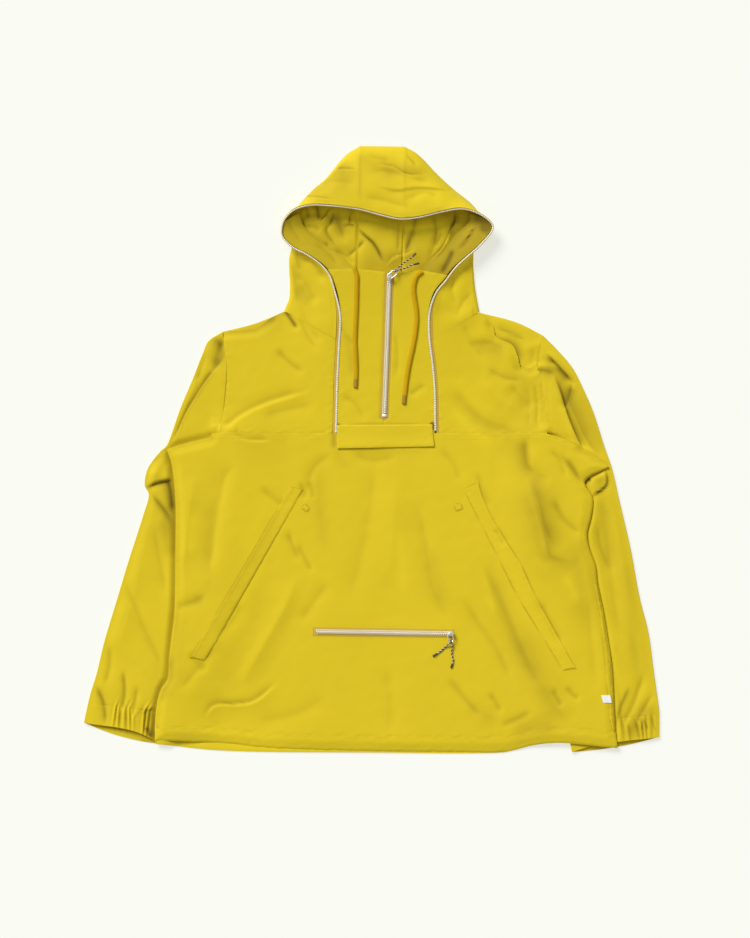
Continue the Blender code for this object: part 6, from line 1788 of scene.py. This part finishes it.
def stitches(name, lines, pieces):
    shape = added(name + "Shape", "uv_sphere", segments=5, ring_count=3, radius=0.5)
    shape.data.transform(Matrix.Diagonal((sewing["wide"] * mm, sewing["long"] * mm, sewing["high"] * 2 * mm, 1)))
    finishPiece(shape, thread, 0, smoothAngle=80)
    top = topOf(*pieces)
    places = []
    for line in lines:
        line = sample(line, np.linspace(0, 1, 200))
        length = lengthOf(line)
        run = np.arange(0.7, length - 0.7, sewing["pitch"])
        middle, ahead = sample(line, run / length), sample(line, np.minimum(run + 1.0, length) / length)
        here, there = top(middle[:, 0], middle[:, 1]), top(ahead[:, 0], ahead[:, 1])
        for p, q, z, z2 in zip(middle, ahead, here, there):
            if np.isnan(z) or np.isnan(z2) or abs(z2 - z) > sewing["steep"]:
                continue
            along = np.array((q[0] - p[0], q[1] - p[1], z2 - z))
            along /= np.linalg.norm(along)
            across = np.cross(along, (0, 0, 1.0))
            across /= np.linalg.norm(across)
            places.append((np.array((*p, z - sewing["sunk"])), across, along, np.cross(across, along)))
    return scatter(name, shape, places)


bodyPieces = [frontCloth, yokeLeftCloth, yokeRightCloth, hemFrontCloth]
hoodRim = zipOuter[zipOuter[:, 1] > 30][:, :2]
stitches("bodyStitches", [aside(seamTop, -2.6)[6:-6], aside(seamTop, -8.4)[12:-12], aside(seamHem, -1.5),
                          aside(armLeft, -2.4), aside(armLeft, -7.6), aside(armRight, 2.4), aside(armRight, 7.6),
                          aside(legLeft, 1.0)[:160], aside(legRight, -1.0)[:160]], bodyPieces)
stitches("bibStitches", [legInLeft[::4] + (2.2, 0), legInRight[::4] - (2.2, 0),
                         chestLeft - (2.0, 0), chestRight + (2.0, 0)], [bibLeftCloth, bibRightCloth])
hoodPieces = [hoodLeftCloth, hoodRightCloth, hoodCentreCloth]
stitches("hoodStitches", [aside(hoodRim[::3], 4.2)], hoodPieces)
stitches("crownStitches", [[(x, 436), (x, 345)] for x in (-23, -15, 42, 50)], hoodPieces)
a, b, c, d = (np.array(corner, float) for corner in flap["corners"])
stitches("flapStitches", [[d + (3, -3), c + (-3, -3)], [d + (3, -5), a + (3, 2)], [c + (-3, -5), b + (-3, 2)]],
         [flapCloth])
weltRows = (("leftStitched", 1.6), ("leftOpening", 5.0), ("rightStitched", 1.6), ("rightOpening", -5.0))
stitches("weltStitches", [aside(smooth(welts[edge], 80), away) for edge, away in weltRows],
         [weltLeftCloth, weltRightCloth])
stitches("pocketStitches", [[zipFrom + (-3, 9.2), zipTo + (3, 9.2)], [zipFrom + (-3, -9.2), zipTo + (3, -9.2)],
                            [zipFrom + (-3, 9), zipFrom + (-3, -9)], [zipTo + (3, 9), zipTo + (3, -9)]], [frontCloth])
stitches("stripStitches", [aside(stripLeft, -1.2), aside(stripLeft, 3.0), np.array(stripRight) - (2.0, 0)],
         [stripCloth, frontCloth])
print("seams stitched")


# floor and light

room = {"floor": (0.31, 0.325, 0.285), "glow": 0.627, "sunPower": 3.0, "sunSpread": 26, "sunTurn": (-50, 0, 36),
        "skyPower": 0.40, "skyTint": (1.0, 1.0, 0.995)}

floorSheet = added("floorSheet", "grid", x_subdivisions=4, y_subdivisions=4, size=12, location=(0, 0, 0))
floorSheet.data.transform(Matrix.Translation((0, 0, -0.0001)))
floorPaint = plainFinish("floorPaint", room["floor"], roughness=0.9, scale=3.0, uneven=0.0)
floorGlow = floorPaint.node_tree.nodes["Principled BSDF"].inputs
floorGlow["Emission Color"].default_value = (1, 1, 0.95, 1)
floorGlow["Emission Strength"].default_value = room["glow"]
floorSheet.data.materials.append(floorPaint)

sun = bpy.data.lights.new("window", "SUN")
sun.energy = room["sunPower"]
sun.angle = math.radians(room["sunSpread"])
window = bpy.data.objects.new("window", sun)
window.rotation_euler = [math.radians(a) for a in room["sunTurn"]]
bpy.context.scene.collection.objects.link(window)
sky = bpy.data.worlds.new("studio")
sky.use_nodes = True
sky.node_tree.nodes["Background"].inputs["Color"].default_value = (*room["skyTint"], 1)
sky.node_tree.nodes["Background"].inputs["Strength"].default_value = room["skyPower"]
bpy.context.scene.world = sky
bpy.context.scene.view_settings.view_transform = "Standard"
print("floor and light set")
